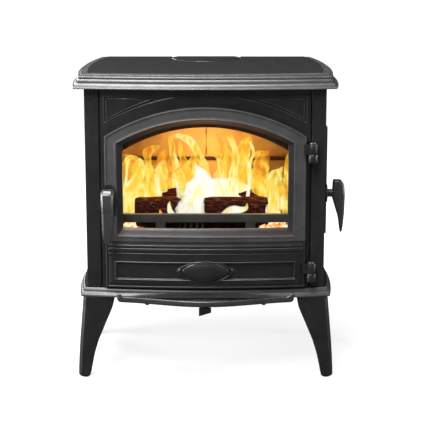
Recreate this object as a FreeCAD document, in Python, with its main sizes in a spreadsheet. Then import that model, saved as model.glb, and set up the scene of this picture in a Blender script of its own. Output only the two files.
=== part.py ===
import FreeCAD, Part
import math
import os
import re

import Sketcher

# Wood burning stove, cast iron, millimetres.
# X: to the right seen from the front, Y: to the back, Z: up.
# Origin: the middle of the footprint, on the floor.
# The front castings are bowed: their faces are arcs in plan about one upright axis,
# so a bowed piece is given by an outline seen from the front and two radii.

Vector = FreeCAD.Vector

SIZES = {
    # plan outline shared by the top plate and the base plate
    "plan_half_width": 298.7, "plan_side_radius": 1016, "plan_side_middle": -43,
    "plan_front": -202.5, "plan_front_radius": 1900, "plan_back": 197,
    # heights
    "top_height": 742, "top_skin": 9, "body_top": 707, "base_top": 226, "base_bottom": 205,
    # body shell
    "body_half_width": 284, "wall_thick": 8, "body_front": -182, "body_back": 182,
    "corner_strip": 33.5, "strip_depth": 14, "bow_middle": 1599, "plate_radius": 1797, "plate_half": 247.5,
    # front door
    "door_back_radius": 1798.5, "door_radius": 1812, "door_half": 237.5, "door_bottom": 230.5,
    "door_shoulder": 595, "door_arch_radius": 432.7,
    "window_half": 196, "window_bottom": 375, "window_shoulder": 575.7, "window_arch_radius": 400,
    "window_bevel": 14, "glass_half": 207, "glass_bottom": 364, "glass_shoulder": 581,
    "glass_arch_radius": 410, "glass_back_radius": 1799, "glass_thick": 4, "gasket_thick": 1.5,
    "rope_outer": 4, "rope_width": 7, "rope_depth": 5,
    "panel_half": 212, "panel_low": 252.5, "panel_high": 292, "panel_depth": 3,
    # openings of the front plate and of the frame behind the glass
    "fire_half": 222, "fire_bottom": 345, "fire_shoulder": 580, "fire_arch_radius": 425,
    "ash_door_low": 245, "ash_door_high": 322,
    "view_half": 199, "view_bottom": 362, "view_shoulder": 556, "view_arch_radius": 360,
    # flue
    "flue_cover_radius": 88, "flue_cover_middle": 161, "flue_gap": 1, "flue_hole_radius": 78,
    "collar_radius": 76, "collar_wall": 6, "collar_length": 58, "collar_height": 612,
    "collar_flange_radius": 102, "collar_bolt_ring": 93,
    # hinges and latches
    "hinge_across": 252.5, "hinge_depth": -196, "knuckle_radius": 11.5, "pin_radius": 4,
    "upper_hinge_low": 533, "lower_hinge_low": 244, "knuckle_height": 20, "knuckle_step": 1,
    "latch_across": -229, "latch_height": 443, "shaft_radius": 5, "shaft_play": 0.05,
    "oval_half_width": 38, "oval_half_height": 22, "boss_radius": 12.5, "neck_radius": 9.5,
    "side_latch_depth": -115, "side_latch_height": 444,
    # side loading door
    "side_low": 352, "side_high": 610, "side_front": -150, "side_rear": 110, "side_lap": 12,
    "side_skin": 284.5, "side_thick": 5.5, "side_hinge_across": 295, "side_hinge_depth": 120,
    # inside
    "lining_half": 214, "lining_thick": 12, "lining_back": 110, "floor_top": 345, "floor_thick": 12,
    "ledge_height": 485, "baffle_height": 640, "bar_depth": -150, "bar_half": 198, "bar_top": 400,
    "grate_half": 80, "grate_front": -90, "grate_back": 50, "grate_travel": 15,
    "pan_half": 150, "pan_front": -172, "pan_back": 80, "pan_top": 296, "pan_wall": 3,
    # feet and lip
    "leg_foot_back": 156, "lip_bottom": 196, "lip_top": 210, "lip_half": 212, "lip_end_reach": 9,
    "lip_swell": 32, "lip_bolt_across": 139, "lip_bolt_depth": -217, "lip_bolt_radius": 3,
    "base_foot_offset": 11.6,
    "bolt_radius": 4, "rod_across": 251, "rod_depth": 160, "nut_flat": 7.5, "leg_bolt_depth": 158,
}

doc = FreeCAD.newDocument("stove")
dim = doc.addObject("Spreadsheet::Sheet", "dim")
for row, (alias, size) in enumerate(SIZES.items(), start=1):
    dim.set("A%d" % row, alias)
    dim.set("B%d" % row, str(size))
    dim.setAlias("B%d" % row, alias)
doc.recompute()

LIP_STEPS = 24
LEG_BOLTS_ACROSS = (236, 266)
NAME = re.compile(r"\b[a-z]+_[a-z_]+\b")
nodes = []


def bound(text):
    """The text as an expression on the sheet: every alias gets the sheet's name."""
    return NAME.sub(lambda match: "dim." + match.group(0), str(text))


def value(text):
    """What an expression on the sheet comes to now."""
    return float(dim.evalExpression(bound(text)))


def node(label, feature):
    """Names a finished sub-part."""
    feature.Label = label
    nodes.append(feature)
    return feature


# ---------------------------------------------------------------- primitives

def box(name, across, depth, height):
    """A block between three (low, high) pairs of expressions."""
    block = doc.addObject("Part::Box", name)
    for size, axis, (low, high) in (("Length", "x", across), ("Width", "y", depth), ("Height", "z", height)):
        block.setExpression(size, bound("(%s) - (%s)" % (high, low)))
        block.setExpression("Placement.Base." + axis, bound(low))
    return block


TURN = {
    "x": FreeCAD.Rotation(Vector(0, 1, 0), 90),
    "y": FreeCAD.Rotation(Vector(1, 0, 0), -90),
    "z": FreeCAD.Rotation(),
}


def place(feature, axis, start):
    """Stands a primitive along an axis with its foot at the start."""
    feature.Placement = FreeCAD.Placement(Vector(), TURN[axis])
    for letter, coordinate in zip("xyz", start):
        feature.setExpression("Placement.Base." + letter, bound(coordinate))
    return feature


def cylinder(name, axis, radius, start, length):
    rod = doc.addObject("Part::Cylinder", name)
    rod.setExpression("Radius", bound(radius))
    rod.setExpression("Height", bound(length))
    return place(rod, axis, start)


def hexagon(name, axis, radius, start, length):
    head = doc.addObject("Part::Prism", name)
    head.Polygon = 6
    head.setExpression("Circumradius", bound(radius))
    head.setExpression("Height", bound(length))
    return place(head, axis, start)


def sphere(name, radius, centre):
    ball = doc.addObject("Part::Sphere", name)
    ball.setExpression("Radius", bound(radius))
    return place(ball, "z", centre)


def fuse(name, shapes):
    joined = doc.addObject("Part::MultiFuse", name)
    joined.Shapes = shapes
    joined.Refine = True
    return joined


def common(name, first, second):
    both = doc.addObject("Part::MultiCommon", name)
    both.Shapes = [first, second]
    return both


def cut(name, base, tool):
    rest = doc.addObject("Part::Cut", name)
    rest.Base = base
    rest.Tool = tool
    return rest


def group(name, shapes):
    """Separate solids that share one node."""
    together = doc.addObject("Part::Compound", name)
    together.Links = shapes
    return together


def mirror(name, source, normal):
    """The same piece on the other side of the middle."""
    copy = doc.addObject("Part::Mirroring", name)
    copy.Source = source
    copy.Normal = normal
    return copy


# ---------------------------------------------------------------- sketched pieces

def arc_between(start, end, radius):
    """The short arc from start to end; a positive radius has its centre on the left.

    It always runs anticlockwise, so with a negative radius it starts at the end.
    """
    chord = end - start
    half = chord.Length / 2
    left = Vector(-chord.y, chord.x, 0).normalize()
    reach = math.sqrt(radius * radius - half * half)
    centre = start + chord * 0.5 + left * math.copysign(reach, radius)
    middle = centre - left * math.copysign(abs(radius), radius)
    return Part.Arc(start, middle, end) if radius > 0 else Part.Arc(end, middle, start)


def draw(sketch, corners):
    """One closed outline: (x, y) goes straight on, (x, y, radius) goes on by an arc."""
    first = sketch.GeometryCount
    points = [Vector(value(corner[0]), value(corner[1]), 0) for corner in corners]
    count = len(corners)
    for index, corner in enumerate(corners):
        start, end = points[index], points[(index + 1) % count]
        if len(corner) == 3:
            sketch.addGeometry(arc_between(start, end, value(corner[2])), False)
        else:
            sketch.addGeometry(Part.LineSegment(start, end), False)
    for index, corner in enumerate(corners):
        edge = first + index
        following = first + (index + 1) % count
        meeting = points[(index + 1) % count]
        sketch.addConstraint(Sketcher.Constraint(
            "Coincident", edge, ends(sketch, edge, meeting), following, ends(sketch, following, meeting)))
    for index, corner in enumerate(corners):
        edge = first + index
        vertex = ends(sketch, edge, points[index])
        for kind, coordinate in (("DistanceX", corner[0]), ("DistanceY", corner[1])):
            fixed = sketch.addConstraint(
                Sketcher.Constraint(kind, -1, 1, edge, vertex, value(coordinate)))
            sketch.setExpression("Constraints[%d]" % fixed, bound(coordinate))
        if len(corner) == 3:
            fixed = sketch.addConstraint(Sketcher.Constraint("Radius", edge, abs(value(corner[2]))))
            sketch.setExpression("Constraints[%d]" % fixed, "abs(%s)" % bound(corner[2]))


def ends(sketch, edge, point):
    """Which end of an edge lies at the point: 1 is its start, 2 its end."""
    curve = sketch.Geometry[edge]
    near_start = (curve.StartPoint - point).Length < (curve.EndPoint - point).Length
    return 1 if near_start else 2


def base_plane(body, plane):
    """The origin plane of a body that a sketch lies on."""
    return next(item for item in body.Origin.OriginFeatures if item.Role == plane + "_Plane")


def pad(name, plane, outlines, start, length):
    """A padded sketch. XY pads go up, XZ pads to the front, YZ pads to the right."""
    body = doc.addObject("PartDesign::Body", name)
    sketch = body.newObject("Sketcher::SketchObject", name + "_sketch")
    sketch.AttachmentSupport = (base_plane(body, plane), [""])
    sketch.MapMode = "FlatFace"
    sketch.setExpression("AttachmentOffset.Base.z", bound(start))
    for corners in outlines:
        draw(sketch, corners)
    solid = body.newObject("PartDesign::Pad", name + "_pad")
    solid.Profile = sketch
    solid.setExpression("Length", bound(length))
    return body


def revolved(name, plane, corners, axis, start):
    """A sketch turned about its own upright or level axis, then moved to the start."""
    body = doc.addObject("PartDesign::Body", name)
    sketch = body.newObject("Sketcher::SketchObject", name + "_sketch")
    sketch.AttachmentSupport = (base_plane(body, plane), [""])
    sketch.MapMode = "FlatFace"
    draw(sketch, corners)
    turned = body.newObject("PartDesign::Revolution", name + "_turned")
    turned.Profile = sketch
    turned.ReferenceAxis = (sketch, [axis])
    turned.Angle = 360
    for letter, coordinate in zip("xyz", start):
        body.setExpression("Placement.Base." + letter, bound(coordinate))
    return body


def rectangle(left, right, low, high):
    return [(left, low), (right, low), (right, high), (left, high)]


def arched(half, low, shoulder, radius):
    """A rectangle with an arched top."""
    return [("-(%s)" % half, low), (half, low), (half, shoulder, radius), ("-(%s)" % half, shoulder)]


def bowed(name, outlines, back_radius, front_radius):
    """A bowed plate: an outline seen from the front, between two upright cylinders."""
    blank = pad(name + "_blank", "XZ", outlines, 120, 160)
    outer = cylinder(name + "_outer", "z", front_radius, (0, "bow_middle", 150), 600)
    inner = cylinder(name + "_inner", "z", back_radius, (0, "bow_middle", 150), 600)
    return cut(name + "_plate", common(name + "_front", blank, outer), inner)


# ---------------------------------------------------------------- moulded plates

def circle_meeting(centre_one, radius_one, centre_two, radius_two):
    """Where two circles cross, on the side with the lower Y."""
    gap = centre_two - centre_one
    along = (gap.Length ** 2 + radius_one ** 2 - radius_two ** 2) / (2 * gap.Length)
    across = math.sqrt(radius_one ** 2 - along ** 2)
    unit = Vector(gap).normalize()
    side = Vector(-unit.y, unit.x, 0)
    crossings = [centre_one + unit * along + side * across, centre_one + unit * along - side * across]
    return min(crossings, key=lambda point: point.y)


def mirrored(point):
    return Vector(-point.x, point.y, point.z)


def plan_wire(offset, height):
    """The plan outline of top and base, grown by an offset: bowed front and sides."""
    front_radius = value("plan_front_radius") + offset
    front_centre = Vector(0, value("plan_front + plan_front_radius"), 0)
    side_radius = value("plan_side_radius") + offset
    side_centre = Vector(value("plan_half_width - plan_side_radius"), value("plan_side_middle"), 0)
    back = value("plan_back")
    corner = circle_meeting(front_centre, front_radius, side_centre, side_radius)
    rear_across = side_centre.x + math.sqrt(side_radius ** 2 - (back - side_centre.y) ** 2)
    lift = Vector(0, 0, height)
    right_front, right_back = corner + lift, Vector(rear_across, back, height)
    right_middle = side_centre + Vector(side_radius, 0, height)
    front_middle = front_centre + Vector(0, -front_radius, height)
    return Part.Wire([
        Part.Arc(mirrored(right_front), front_middle, right_front).toShape(),
        Part.Arc(right_front, right_middle, right_back).toShape(),
        Part.LineSegment(right_back, mirrored(right_back)).toShape(),
        Part.Arc(mirrored(right_back), mirrored(right_middle), mirrored(right_front)).toShape(),
    ])


def hollow_under(name, inset, low, high):
    """The hollow below a moulded plate: the plan outline drawn in, closed at the back."""
    space = moulded(name + "_space", [(-inset, low), (-inset, high)])
    limit = box(name + "_limit", (-400, 400), (-400, "plan_back - %s" % inset), (low - 1, high + 1))
    return common(name, space, limit)


def moulded(name, profile):
    """A solid through the plan outline at each (offset, height) of a moulding profile."""
    feature = doc.addObject("Part::Feature", name)
    feature.Shape = Part.makeLoft([plan_wire(offset, height) for offset, height in profile], True, True)
    return feature


def top_plate():
    top, low = value("top_height"), value("body_top")
    profile = [
        (17.6, low), (19.6, low + 0.6), (20.6, low + 2.5), (20.6, low + 5.5), (19.8, low + 8.2),
        (17.8, low + 9.9), (14.5, low + 10.6), (10.5, low + 12), (8, low + 14.5), (7, low + 18),
        (7, top - 9), (6.6, top - 6.8), (4.8, top - 5.4), (2.2, top - 5), (0.3, top - 4.2),
        (0, top - 2.5), (-0.7, top - 0.7), (-2.5, top),
    ]
    casting = moulded("top_casting", profile)
    hollow = hollow_under("top_hollow", 22, low - 5, top - value("top_skin"))
    seat = cylinder("cover_seat", "z", "flue_cover_radius + flue_gap",
                    (0, "flue_cover_middle", "top_height - top_skin + 4"), 30)
    hole = cylinder("top_flue_hole", "z", "flue_cover_radius - 10", (0, "flue_cover_middle", 600), 200)
    keep = box("flue_hole_front", (-100, 100), (0, "plan_back - 14"), (600, "top_height + 10"))
    notches = [
        pad("cover_notch_%s" % side, "XY",
            [[("%s*74" % sign, "plan_back + 1"), ("%s*81" % sign, "plan_back - 6"),
              ("%s*88" % sign, "plan_back + 1")]], "top_height - 4", 10)
        for side, sign in (("left", "-1"), ("right", "1"))]
    threads = [cylinder("rod_thread_%d" % index, "z", "bolt_radius + 0.1", (across, depth, "body_top"),
                        "top_height - body_top - 4.5")
               for index, (across, depth) in enumerate(tie_rod_places())]
    tools = fuse("top_openings", [hollow, seat, common("flue_hole_shape", hole, keep)] + notches + threads)
    node("top_plate", cut("top_plate_casting", casting, tools))


def flue_cover():
    disc = cylinder("cover_disc", "z", "flue_cover_radius",
                    (0, "flue_cover_middle", "top_height - top_skin + 4.3"), "top_skin - 4.6")
    limit = pad("cover_limit", "XY", [[
        (-100, 0), (100, 0), (100, "plan_back - 27"), ("flue_cover_radius - 3", "plan_back - 27"),
        ("flue_cover_radius - 14", "plan_back - 0.5"), ("14 - flue_cover_radius", "plan_back - 0.5"),
        ("3 - flue_cover_radius", "plan_back - 27"), (-100, "plan_back - 27"),
    ]], 700, 60)
    node("flue_cover", common("flue_cover_plate", disc, limit))


def base_plate():
    low, high = value("base_bottom"), value("base_top")
    casting = moulded("base_casting", [
        (9.5, low), (11.4, low + 1.5), (11.4, low + 4), (3, high - 2), (1, high)])
    hollow = hollow_under("base_hollow", 6, low - 5, low + 12)
    pads = [box("leg_pad_%d_%d" % (side, end),
                ("%d*252 - 36" % side, "%d*252 + 36" % side), ("%d*163 - 40" % end, "%d*163 + 40" % end),
                ("base_bottom", "base_top - 4")) for side in (-1, 1) for end in (-1, 1)]
    slot = box("air_slot", (-40, 40), (-175, -130), (190, 240))
    relief = box("lip_relief", ("-lip_half", "lip_half"), (-240, -206),
                 ("base_bottom - 5", "base_bottom + 11"))
    holes = [cylinder("base_hole_%d" % index, "z", "bolt_radius + 0.2", (across, depth, 190), 60)
             for index, (across, depth) in enumerate(leg_bolt_places() + tie_rod_places())]
    pockets = [hexagon("nut_pocket_%d" % index, "z", "nut_flat + 0.1",
                       (across, depth, "base_bottom - 1"), 18.05)
               for index, (across, depth) in enumerate(tie_rod_places())]
    hollowed = cut("base_hollowed", casting, hollow)
    shell = fuse("base_shell", [hollowed] + [common("leg_pad_fit_%d" % index, block, casting)
                                            for index, block in enumerate(pads)])
    openings = fuse("base_openings", [slot, relief] + holes + pockets)
    node("base_plate", cut("base_plate_casting", shell, openings))


def leg_bolt_places():
    return [("%d*%s" % (side, across), "%d*leg_bolt_depth" % end)
            for side in (-1, 1) for end in (-1, 1) for across in LEG_BOLTS_ACROSS]


def tie_rod_places():
    return [("%d*rod_across" % side, depth) for side in (-1, 1) for depth in ("-rod_depth", "rod_depth - 27")]


# ---------------------------------------------------------------- body shell

def front_plate():
    whole = bowed("plate_whole", [
        rectangle("-plate_half", "plate_half", "base_top", "body_top"),
        arched("fire_half", "fire_bottom", "fire_shoulder", "fire_arch_radius"),
        rectangle("-fire_half", "fire_half", "ash_door_low", "ash_door_high"),
    ], "plate_radius - wall_thick", "plate_radius")
    recess = [
        [("238", "688"), ("71", "687", "-(door_arch_radius + 26)"), ("238", "624")],
        [("232", "683"), ("125", "681", "-(door_arch_radius + 32)"), ("232", "633")],
    ]
    right = bowed("spandrel_right", recess, "plate_radius - 2", "plate_radius + 5")
    left = mirror("spandrel_left", right, (1, 0, 0))
    latch = cylinder("plate_latch_hole", "y", 8.5, ("latch_across", -210, "latch_height"), 60)
    node("front_plate", cut("front_plate_casting", whole, fuse("plate_cuts", [right, left, latch])))


def side_outline():
    """Plan of a side panel: the wall, its front corner strip and a tongue behind the front plate."""
    return [
        ("body_half_width", "body_front"), ("body_half_width", "body_back"),
        ("body_half_width - wall_thick", "body_back"),
        ("body_half_width - wall_thick", "body_front + strip_depth"),
        ("body_half_width - corner_strip - 10", "body_front + strip_depth"),
        ("body_half_width - corner_strip - 10", "body_front + wall_thick + 1.2"),
        ("body_half_width - corner_strip", "body_front + wall_thick + 1.2"),
        ("body_half_width - corner_strip", "body_front"),
    ]


def side_panels():
    wall = pad("side_wall", "XY", [side_outline()], "base_top", "body_top - base_top")
    node("left_side_panel", mirror("left_side_wall", wall, (1, 0, 0)))
    node("right_side_panel", cut("right_side_wall", wall, side_opening("side_opening")))


def side_opening(name):
    """The loading opening through the right side and its lining."""
    return box(name, ("lining_half - 20", "body_half_width + 20"),
               ("side_front + side_lap", "side_rear - side_lap"),
               ("side_low + side_lap", "side_high - side_lap"))


def back_panel():
    sheet = box("back_sheet", ("wall_thick - body_half_width + 0.2", "body_half_width - wall_thick - 0.2"),
                ("body_back - wall_thick", "body_back"), ("base_top", "body_top"))
    holes = [cylinder("back_flue_hole", "y", "flue_hole_radius", (0, 150, "collar_height"), 60)]
    holes += [cylinder("back_bolt_hole_%d" % index, "y", "bolt_radius + 0.2", (across, 150, height), 60)
              for index, (across, height) in enumerate(collar_bolt_places())]
    node("back_panel", cut("back_panel_sheet", sheet, fuse("back_cuts", holes)))


def collar_bolt_places():
    return [("collar_bolt_ring * %.6f" % math.cos(math.radians(angle)),
             "collar_height + collar_bolt_ring * %.6f" % math.sin(math.radians(angle)))
            for angle in (45, 135, 225, 315)]


def flue_collar():
    ring = revolved("collar_ring", "XY", [
        ("collar_radius", 0), ("collar_flange_radius", 0), ("collar_flange_radius", 8),
        ("collar_radius + collar_wall", 8), ("collar_radius + collar_wall", "collar_length"),
        ("collar_radius", "collar_length"),
    ], "V_Axis", (0, "body_back", "collar_height"))
    holes = [cylinder("collar_bolt_hole_%d" % index, "y", "bolt_radius + 0.2", (across, 150, height), 60)
             for index, (across, height) in enumerate(collar_bolt_places())]
    holes.append(box("flange_trim", (-90, 90), (170, 200), ("body_top - 0.2", "body_top + 20")))
    node("flue_collar", cut("flue_collar_ring", ring, fuse("collar_cuts", holes)))
    bolts = []
    for index, (across, height) in enumerate(collar_bolt_places()):
        shank = cylinder("collar_shank_%d" % index, "y", "bolt_radius",
                         (across, "body_back - 14", height), 22)
        head = hexagon("collar_head_%d" % index, "y", 7.5, (across, "body_back + 8", height), 5.5)
        bolts.append(fuse("collar_bolt_%d" % index, [shank, head]))
    node("flue_collar_bolts", group("collar_bolt_group", bolts))


def tie_rods():
    rods, nuts = [], []
    for index, (across, depth) in enumerate(tie_rod_places()):
        rods.append(cylinder("tie_rod_%d" % index, "z", "bolt_radius",
                             (across, depth, "base_bottom + 3"), "top_height - top_skin - base_bottom + 1"))
        blank = hexagon("tie_nut_blank_%d" % index, "z", "nut_flat",
                        (across, depth, "base_bottom + 10.5"), 6.5)
        bore = cylinder("tie_nut_bore_%d" % index, "z", "bolt_radius + 0.05", (across, depth, 205), 30)
        nuts.append(cut("tie_nut_%d" % index, blank, bore))
    node("tie_rods", group("tie_rod_group", rods))
    node("tie_rod_nuts", group("tie_nut_group", nuts))


# ---------------------------------------------------------------- legs and ash lip

def leg_section(height, inner, outer, front, back):
    """Plan of a leg at one height, with its outer edges chamfered and its inner edge bevelled."""
    chamfer, bevel = 8, 3
    corners = [
        (inner, front + bevel), (inner + bevel, front), (outer - chamfer, front), (outer, front + chamfer),
        (outer, back - chamfer), (outer - chamfer, back), (inner, back),
    ]
    return Part.makePolygon([Vector(x, y, height) for x, y in corners + corners[:1]])


def legs():
    """Splayed legs: the outer edge leans out, the inner edge sweeps in from the base."""
    foot_back = -value("leg_foot_back")
    stations = [
        (0, 286, 305, -186, foot_back - 3), (6, 281, 309.5, -190, foot_back),
        (15.4, 279.4, 309.5, -190.3, foot_back + 1), (54.5, 271.3, 307.5, -191.5, -150),
        (95.9, 258.9, 304.4, -192.7, -145), (136.8, 242, 300.5, -194, -139),
        (160, 232, 298.5, -194.7, -135.5),
        (180, 223.9, 296.5, -195.3, -132), (199, 220.4, 294.8, -195.8, -131),
        (value("base_bottom"), 220.4, 294.3, -196, -131),
    ]
    rough = doc.addObject("Part::Feature", "leg_casting")
    rough.Shape = Part.makeLoft([leg_section(*station) for station in stations], True, True)
    holes = [cylinder("leg_hole_%d" % at, "z", "bolt_radius + 0.2", (at, "-leg_bolt_depth", 185), 40)
             for at in LEG_BOLTS_ACROSS]
    front_right = cut("leg_drilled", rough, fuse("leg_holes", holes))
    front_left = mirror("leg_mirrored", front_right, (1, 0, 0))
    node("front_right_leg", front_right)
    node("front_left_leg", front_left)
    node("rear_right_leg", mirror("leg_rear_right", front_right, (0, 1, 0)))
    node("rear_left_leg", mirror("leg_rear_left", front_left, (0, 1, 0)))
    bolts = []
    for index, (at, depth) in enumerate(leg_bolt_places()):
        shank = cylinder("leg_shank_%d" % index, "z", "bolt_radius", (at, depth, 187), "base_top - 187")
        head = hexagon("leg_head_%d" % index, "z", 7.5, (at, depth, "base_top"), 5.5)
        bolts.append(fuse("leg_bolt_%d" % index, [shank, head]))
    node("leg_bolts", group("leg_bolt_group", bolts))


def lip_back(across):
    """Depth of the back edge of the ash lip, on the foot of the base moulding."""
    radius = value("plan_front_radius + base_foot_offset")
    return value("plan_front + plan_front_radius") - math.sqrt(radius ** 2 - across ** 2)


def lip_edge(inset, height):
    """Plan outline of the ash lip: its back follows the base, its front swells to the middle."""
    half = value("lip_half") - inset
    swell = []
    for step in range(LIP_STEPS + 1):
        across = half - 2 * half * step / LIP_STEPS
        bulge = (1 + math.cos(math.pi * across / value("lip_half"))) / 2
        front = lip_back(across) - value("lip_end_reach") - value("lip_swell") * bulge + inset
        swell.append(Vector(across, front, height))
    curve = Part.BSplineCurve()
    curve.interpolate(swell)
    left, right = Vector(-half, lip_back(half), height), Vector(half, lip_back(half), height)
    middle = Vector(0, lip_back(0), height)
    return Part.Wire([
        Part.Arc(left, middle, right).toShape(),
        Part.LineSegment(right, swell[0]).toShape(),
        curve.toShape(),
        Part.LineSegment(swell[-1], left).toShape(),
    ])


def ash_lip():
    slab = doc.addObject("Part::Feature", "lip_slab")
    thick = value("lip_top - lip_bottom")
    slab.Shape = Part.Face(lip_edge(0, value("lip_bottom"))).extrude(Vector(0, 0, thick))
    tray = doc.addObject("Part::Feature", "lip_tray")
    tray.Shape = Part.Face(lip_edge(5, value("lip_top") - 6)).extrude(Vector(0, 0, 20))
    bolts, holes = [], []
    for side in (-1, 1):
        at = ("%d*lip_bolt_across" % side, "lip_bolt_depth")
        holes.append(cylinder("lip_hole_%d" % side, "z", 3.2, at + (180,), 40))
        shank = cylinder("lip_shank_%d" % side, "z", "lip_bolt_radius", at + ("lip_bottom",), 8)
        ball = sphere("lip_dome_%d" % side, 6.5, at + ("lip_bottom + 1.5",))
        below = box("lip_dome_limit_%d" % side, (at[0] + " - 10", at[0] + " + 10"), (-230, -200),
                    ("lip_bottom - 10", "lip_bottom"))
        bolts.append(fuse("lip_bolt_%d" % side, [shank, common("lip_head_%d" % side, ball, below)]))
    tools = fuse("lip_cuts", [tray] + holes)
    node("ash_lip", cut("ash_lip_casting", slab, tools))
    node("ash_lip_bolts", group("lip_bolt_group", bolts))


def air_slide():
    """Sliding air control under the base, with a slanted finger tab below the lip."""
    plate = box("slide_plate", (-60, 60), (-185, -120), (190, 193))
    arm = box("slide_arm", (-12, 10), (-247, -184), (190, 193))
    tab = pad("slide_tab", "XZ", [[(-15.5, 193), (13.6, 193), (13.6, 181), (-15.5, 172)]], 243, 4)
    node("air_slide", fuse("air_slide_plate", [plate, arm, tab]))
    guides = []
    for index, (near, far) in enumerate(((-188.5, -185.5), (-119.5, -116.5))):
        side = box("guide_web_%d" % index, (-100, 100), (near, far), (186, "base_bottom + 12"))
        toe = (near, -182) if index == 0 else (-123, far)
        foot = box("guide_foot_%d" % index, (-100, 100), toe, (186, 189.5))
        guides.append(fuse("air_guide_%d" % index, [side, foot]))
    gap = box("guide_gap", (-32, 30), (-200, -180), (180, 198))
    node("air_slide_guides", cut("air_guides", group("air_guide_pair", guides), gap))


# ---------------------------------------------------------------- front door

def door_outline(inset=0):
    """The door's arched outline, drawn in by an inset on every side."""
    return arched("door_half - %s" % inset, "door_bottom + %s" % inset, "door_shoulder - %s*0.45" % inset,
                  "door_arch_radius - %s" % inset)


def front_door():
    slab = bowed("door_slab", [
        door_outline(),
        arched("window_half", "window_bottom", "window_shoulder", "window_arch_radius"),
    ], "door_back_radius", "door_radius")
    rim = bowed("door_rim", [door_outline(1), door_outline(5)], "door_radius - 4", "door_radius + 1")
    panel_rim = bowed("panel_rim", [
        rectangle("-panel_half - 17", "panel_half + 17", "panel_low - 16.5", "panel_high + 19"),
        rectangle("-panel_half", "panel_half", "panel_low", "panel_high"),
    ], "door_radius - 4", "door_radius + 1")
    rib = bowed("door_rib", [rectangle("-panel_half - 17", "panel_half + 17", 318, 328)],
                "door_radius - 4", "door_radius + 2")
    boss = door_boss()
    knuckles, pockets = door_knuckles()
    latch_flat = box("latch_flat", ("-door_half - 5", "-door_half + 40"), (-240, -150),
                     ("latch_height - 42", "latch_height + 44"))
    solid = fuse("door_solid", [slab, cut("rim_with_gap", rim, latch_flat), panel_rim, rib, boss] + knuckles)
    panel = bowed("door_panel_recess", [rectangle("-panel_half", "panel_half", "panel_low", "panel_high")],
                  "door_radius - panel_depth", "door_radius + 0.5")
    kept_panel = cut("door_panel_cut", panel, common("boss_in_panel", boss, panel))
    bevel = bowed("door_bevel", [arched("window_half + window_bevel", "window_bottom - 18",
                                        "window_shoulder + 3", "window_arch_radius + 10")],
                  "door_radius - 5.5", "door_radius + 5")
    seat = bowed("glass_seat", [arched("glass_half + 1", "glass_bottom - 1", "glass_shoulder",
                                       "glass_arch_radius")],
                 "door_back_radius - 3", "glass_back_radius + glass_thick + gasket_thick")
    rope = rope_ring("rope_groove", "door_back_radius - 3", "door_back_radius + rope_depth", 0)
    shaft = cylinder("door_shaft_hole", "y", "shaft_radius + shaft_play",
                     ("latch_across", -230, "latch_height"), 60)
    screws = [cylinder("clip_screw_hole_%d" % index, "y", 2.1, (at[0], at[1] - 11, at[2]), 30)
              for index, at in enumerate(clip_places())]
    cam_pocket = cylinder("cam_pocket", "y", 7.6, ("latch_across", -187.2, "latch_height"), 10)
    tools = fuse("door_cuts", [kept_panel, bevel, seat, rope, shaft, cam_pocket] + pockets + screws)
    node("door_frame", cut("door_casting", solid, tools))


def door_boss():
    """The blank oval boss on the lower panel."""
    arc = "(57*57 + 22.5*22.5)/(2*22.5)"
    return bowed("oval_boss", [[("-57", "(panel_low + panel_high)/2", arc),
                                ("57", "(panel_low + panel_high)/2", arc)]],
                 "door_radius - 6", "door_radius + 5")


def hinge_levels():
    """Foot heights of the frame knuckle and of the door knuckle above it, per hinge."""
    return [(low, "%s + knuckle_height + knuckle_step" % low)
            for low in ("upper_hinge_low", "lower_hinge_low")]


def door_knuckles():
    knuckles, pockets = [], []
    for index, (_, level) in enumerate(hinge_levels()):
        knuckles.append(cylinder("door_knuckle_%d" % index, "z", "knuckle_radius",
                                 ("hinge_across", "hinge_depth", level), "knuckle_height + 3"))
        knuckles.append(box("door_hinge_arm_%d" % index, (231, "hinge_across"),
                            ("hinge_depth - 9", "hinge_depth - 3"),
                             (level, "%s + knuckle_height + 3" % level)))
        pockets.append(cylinder("door_knuckle_bore_%d" % index, "z", "pin_radius + shaft_play",
                                ("hinge_across", "hinge_depth", level + " - 5"), "knuckle_height + 20"))
    return knuckles, pockets


def frame_hinges():
    lugs, pins = [], []
    for index, (level, _) in enumerate(hinge_levels()):
        round_part = cylinder("frame_knuckle_%d" % index, "z", "knuckle_radius",
                              ("hinge_across", "hinge_depth", level), "knuckle_height")
        foot = box("frame_hinge_foot_%d" % index, ("hinge_across", "hinge_across + knuckle_radius"),
                   ("hinge_depth - 4", "body_front"), (level, "%s + knuckle_height" % level))
        bore = cylinder("frame_knuckle_bore_%d" % index, "z", "pin_radius",
                        ("hinge_across", "hinge_depth", level + " - 5"), "knuckle_height + 20")
        lugs.append(cut("frame_lug_%d" % index, fuse("frame_lug_solid_%d" % index, [round_part, foot]), bore))
        rod = cylinder("hinge_rod_%d" % index, "z", "pin_radius", ("hinge_across", "hinge_depth", level),
                       "2*knuckle_height + knuckle_step + 3.5")
        cap = cylinder("hinge_cap_%d" % index, "z", "pin_radius + 2.5",
                       ("hinge_across", "hinge_depth", level + " + 2*knuckle_height + knuckle_step + 3.5"), 3)
        pins.append(fuse("hinge_pin_%d" % index, [rod, cap]))
    node("door_hinge_lugs", group("frame_lug_pair", lugs))
    node("door_hinge_pins", group("hinge_pin_pair", pins))


def rope_ring(name, back_radius, front_radius, play):
    edge = "rope_outer + %s" % play
    inner = "rope_outer + rope_width - %s" % play
    return bowed(name, [door_outline("(%s)" % edge), door_outline("(%s)" % inner)], back_radius, front_radius)


def clip_places():
    """Screws of the glass clips: (across, depth, height) beside and below the glass."""
    places = []
    for side in (-1, 1):
        for height in (400, 545):
            places.append((side * 212, -183, height))
        places.append((side * 110, -195, 358.5))
    return places


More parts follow.
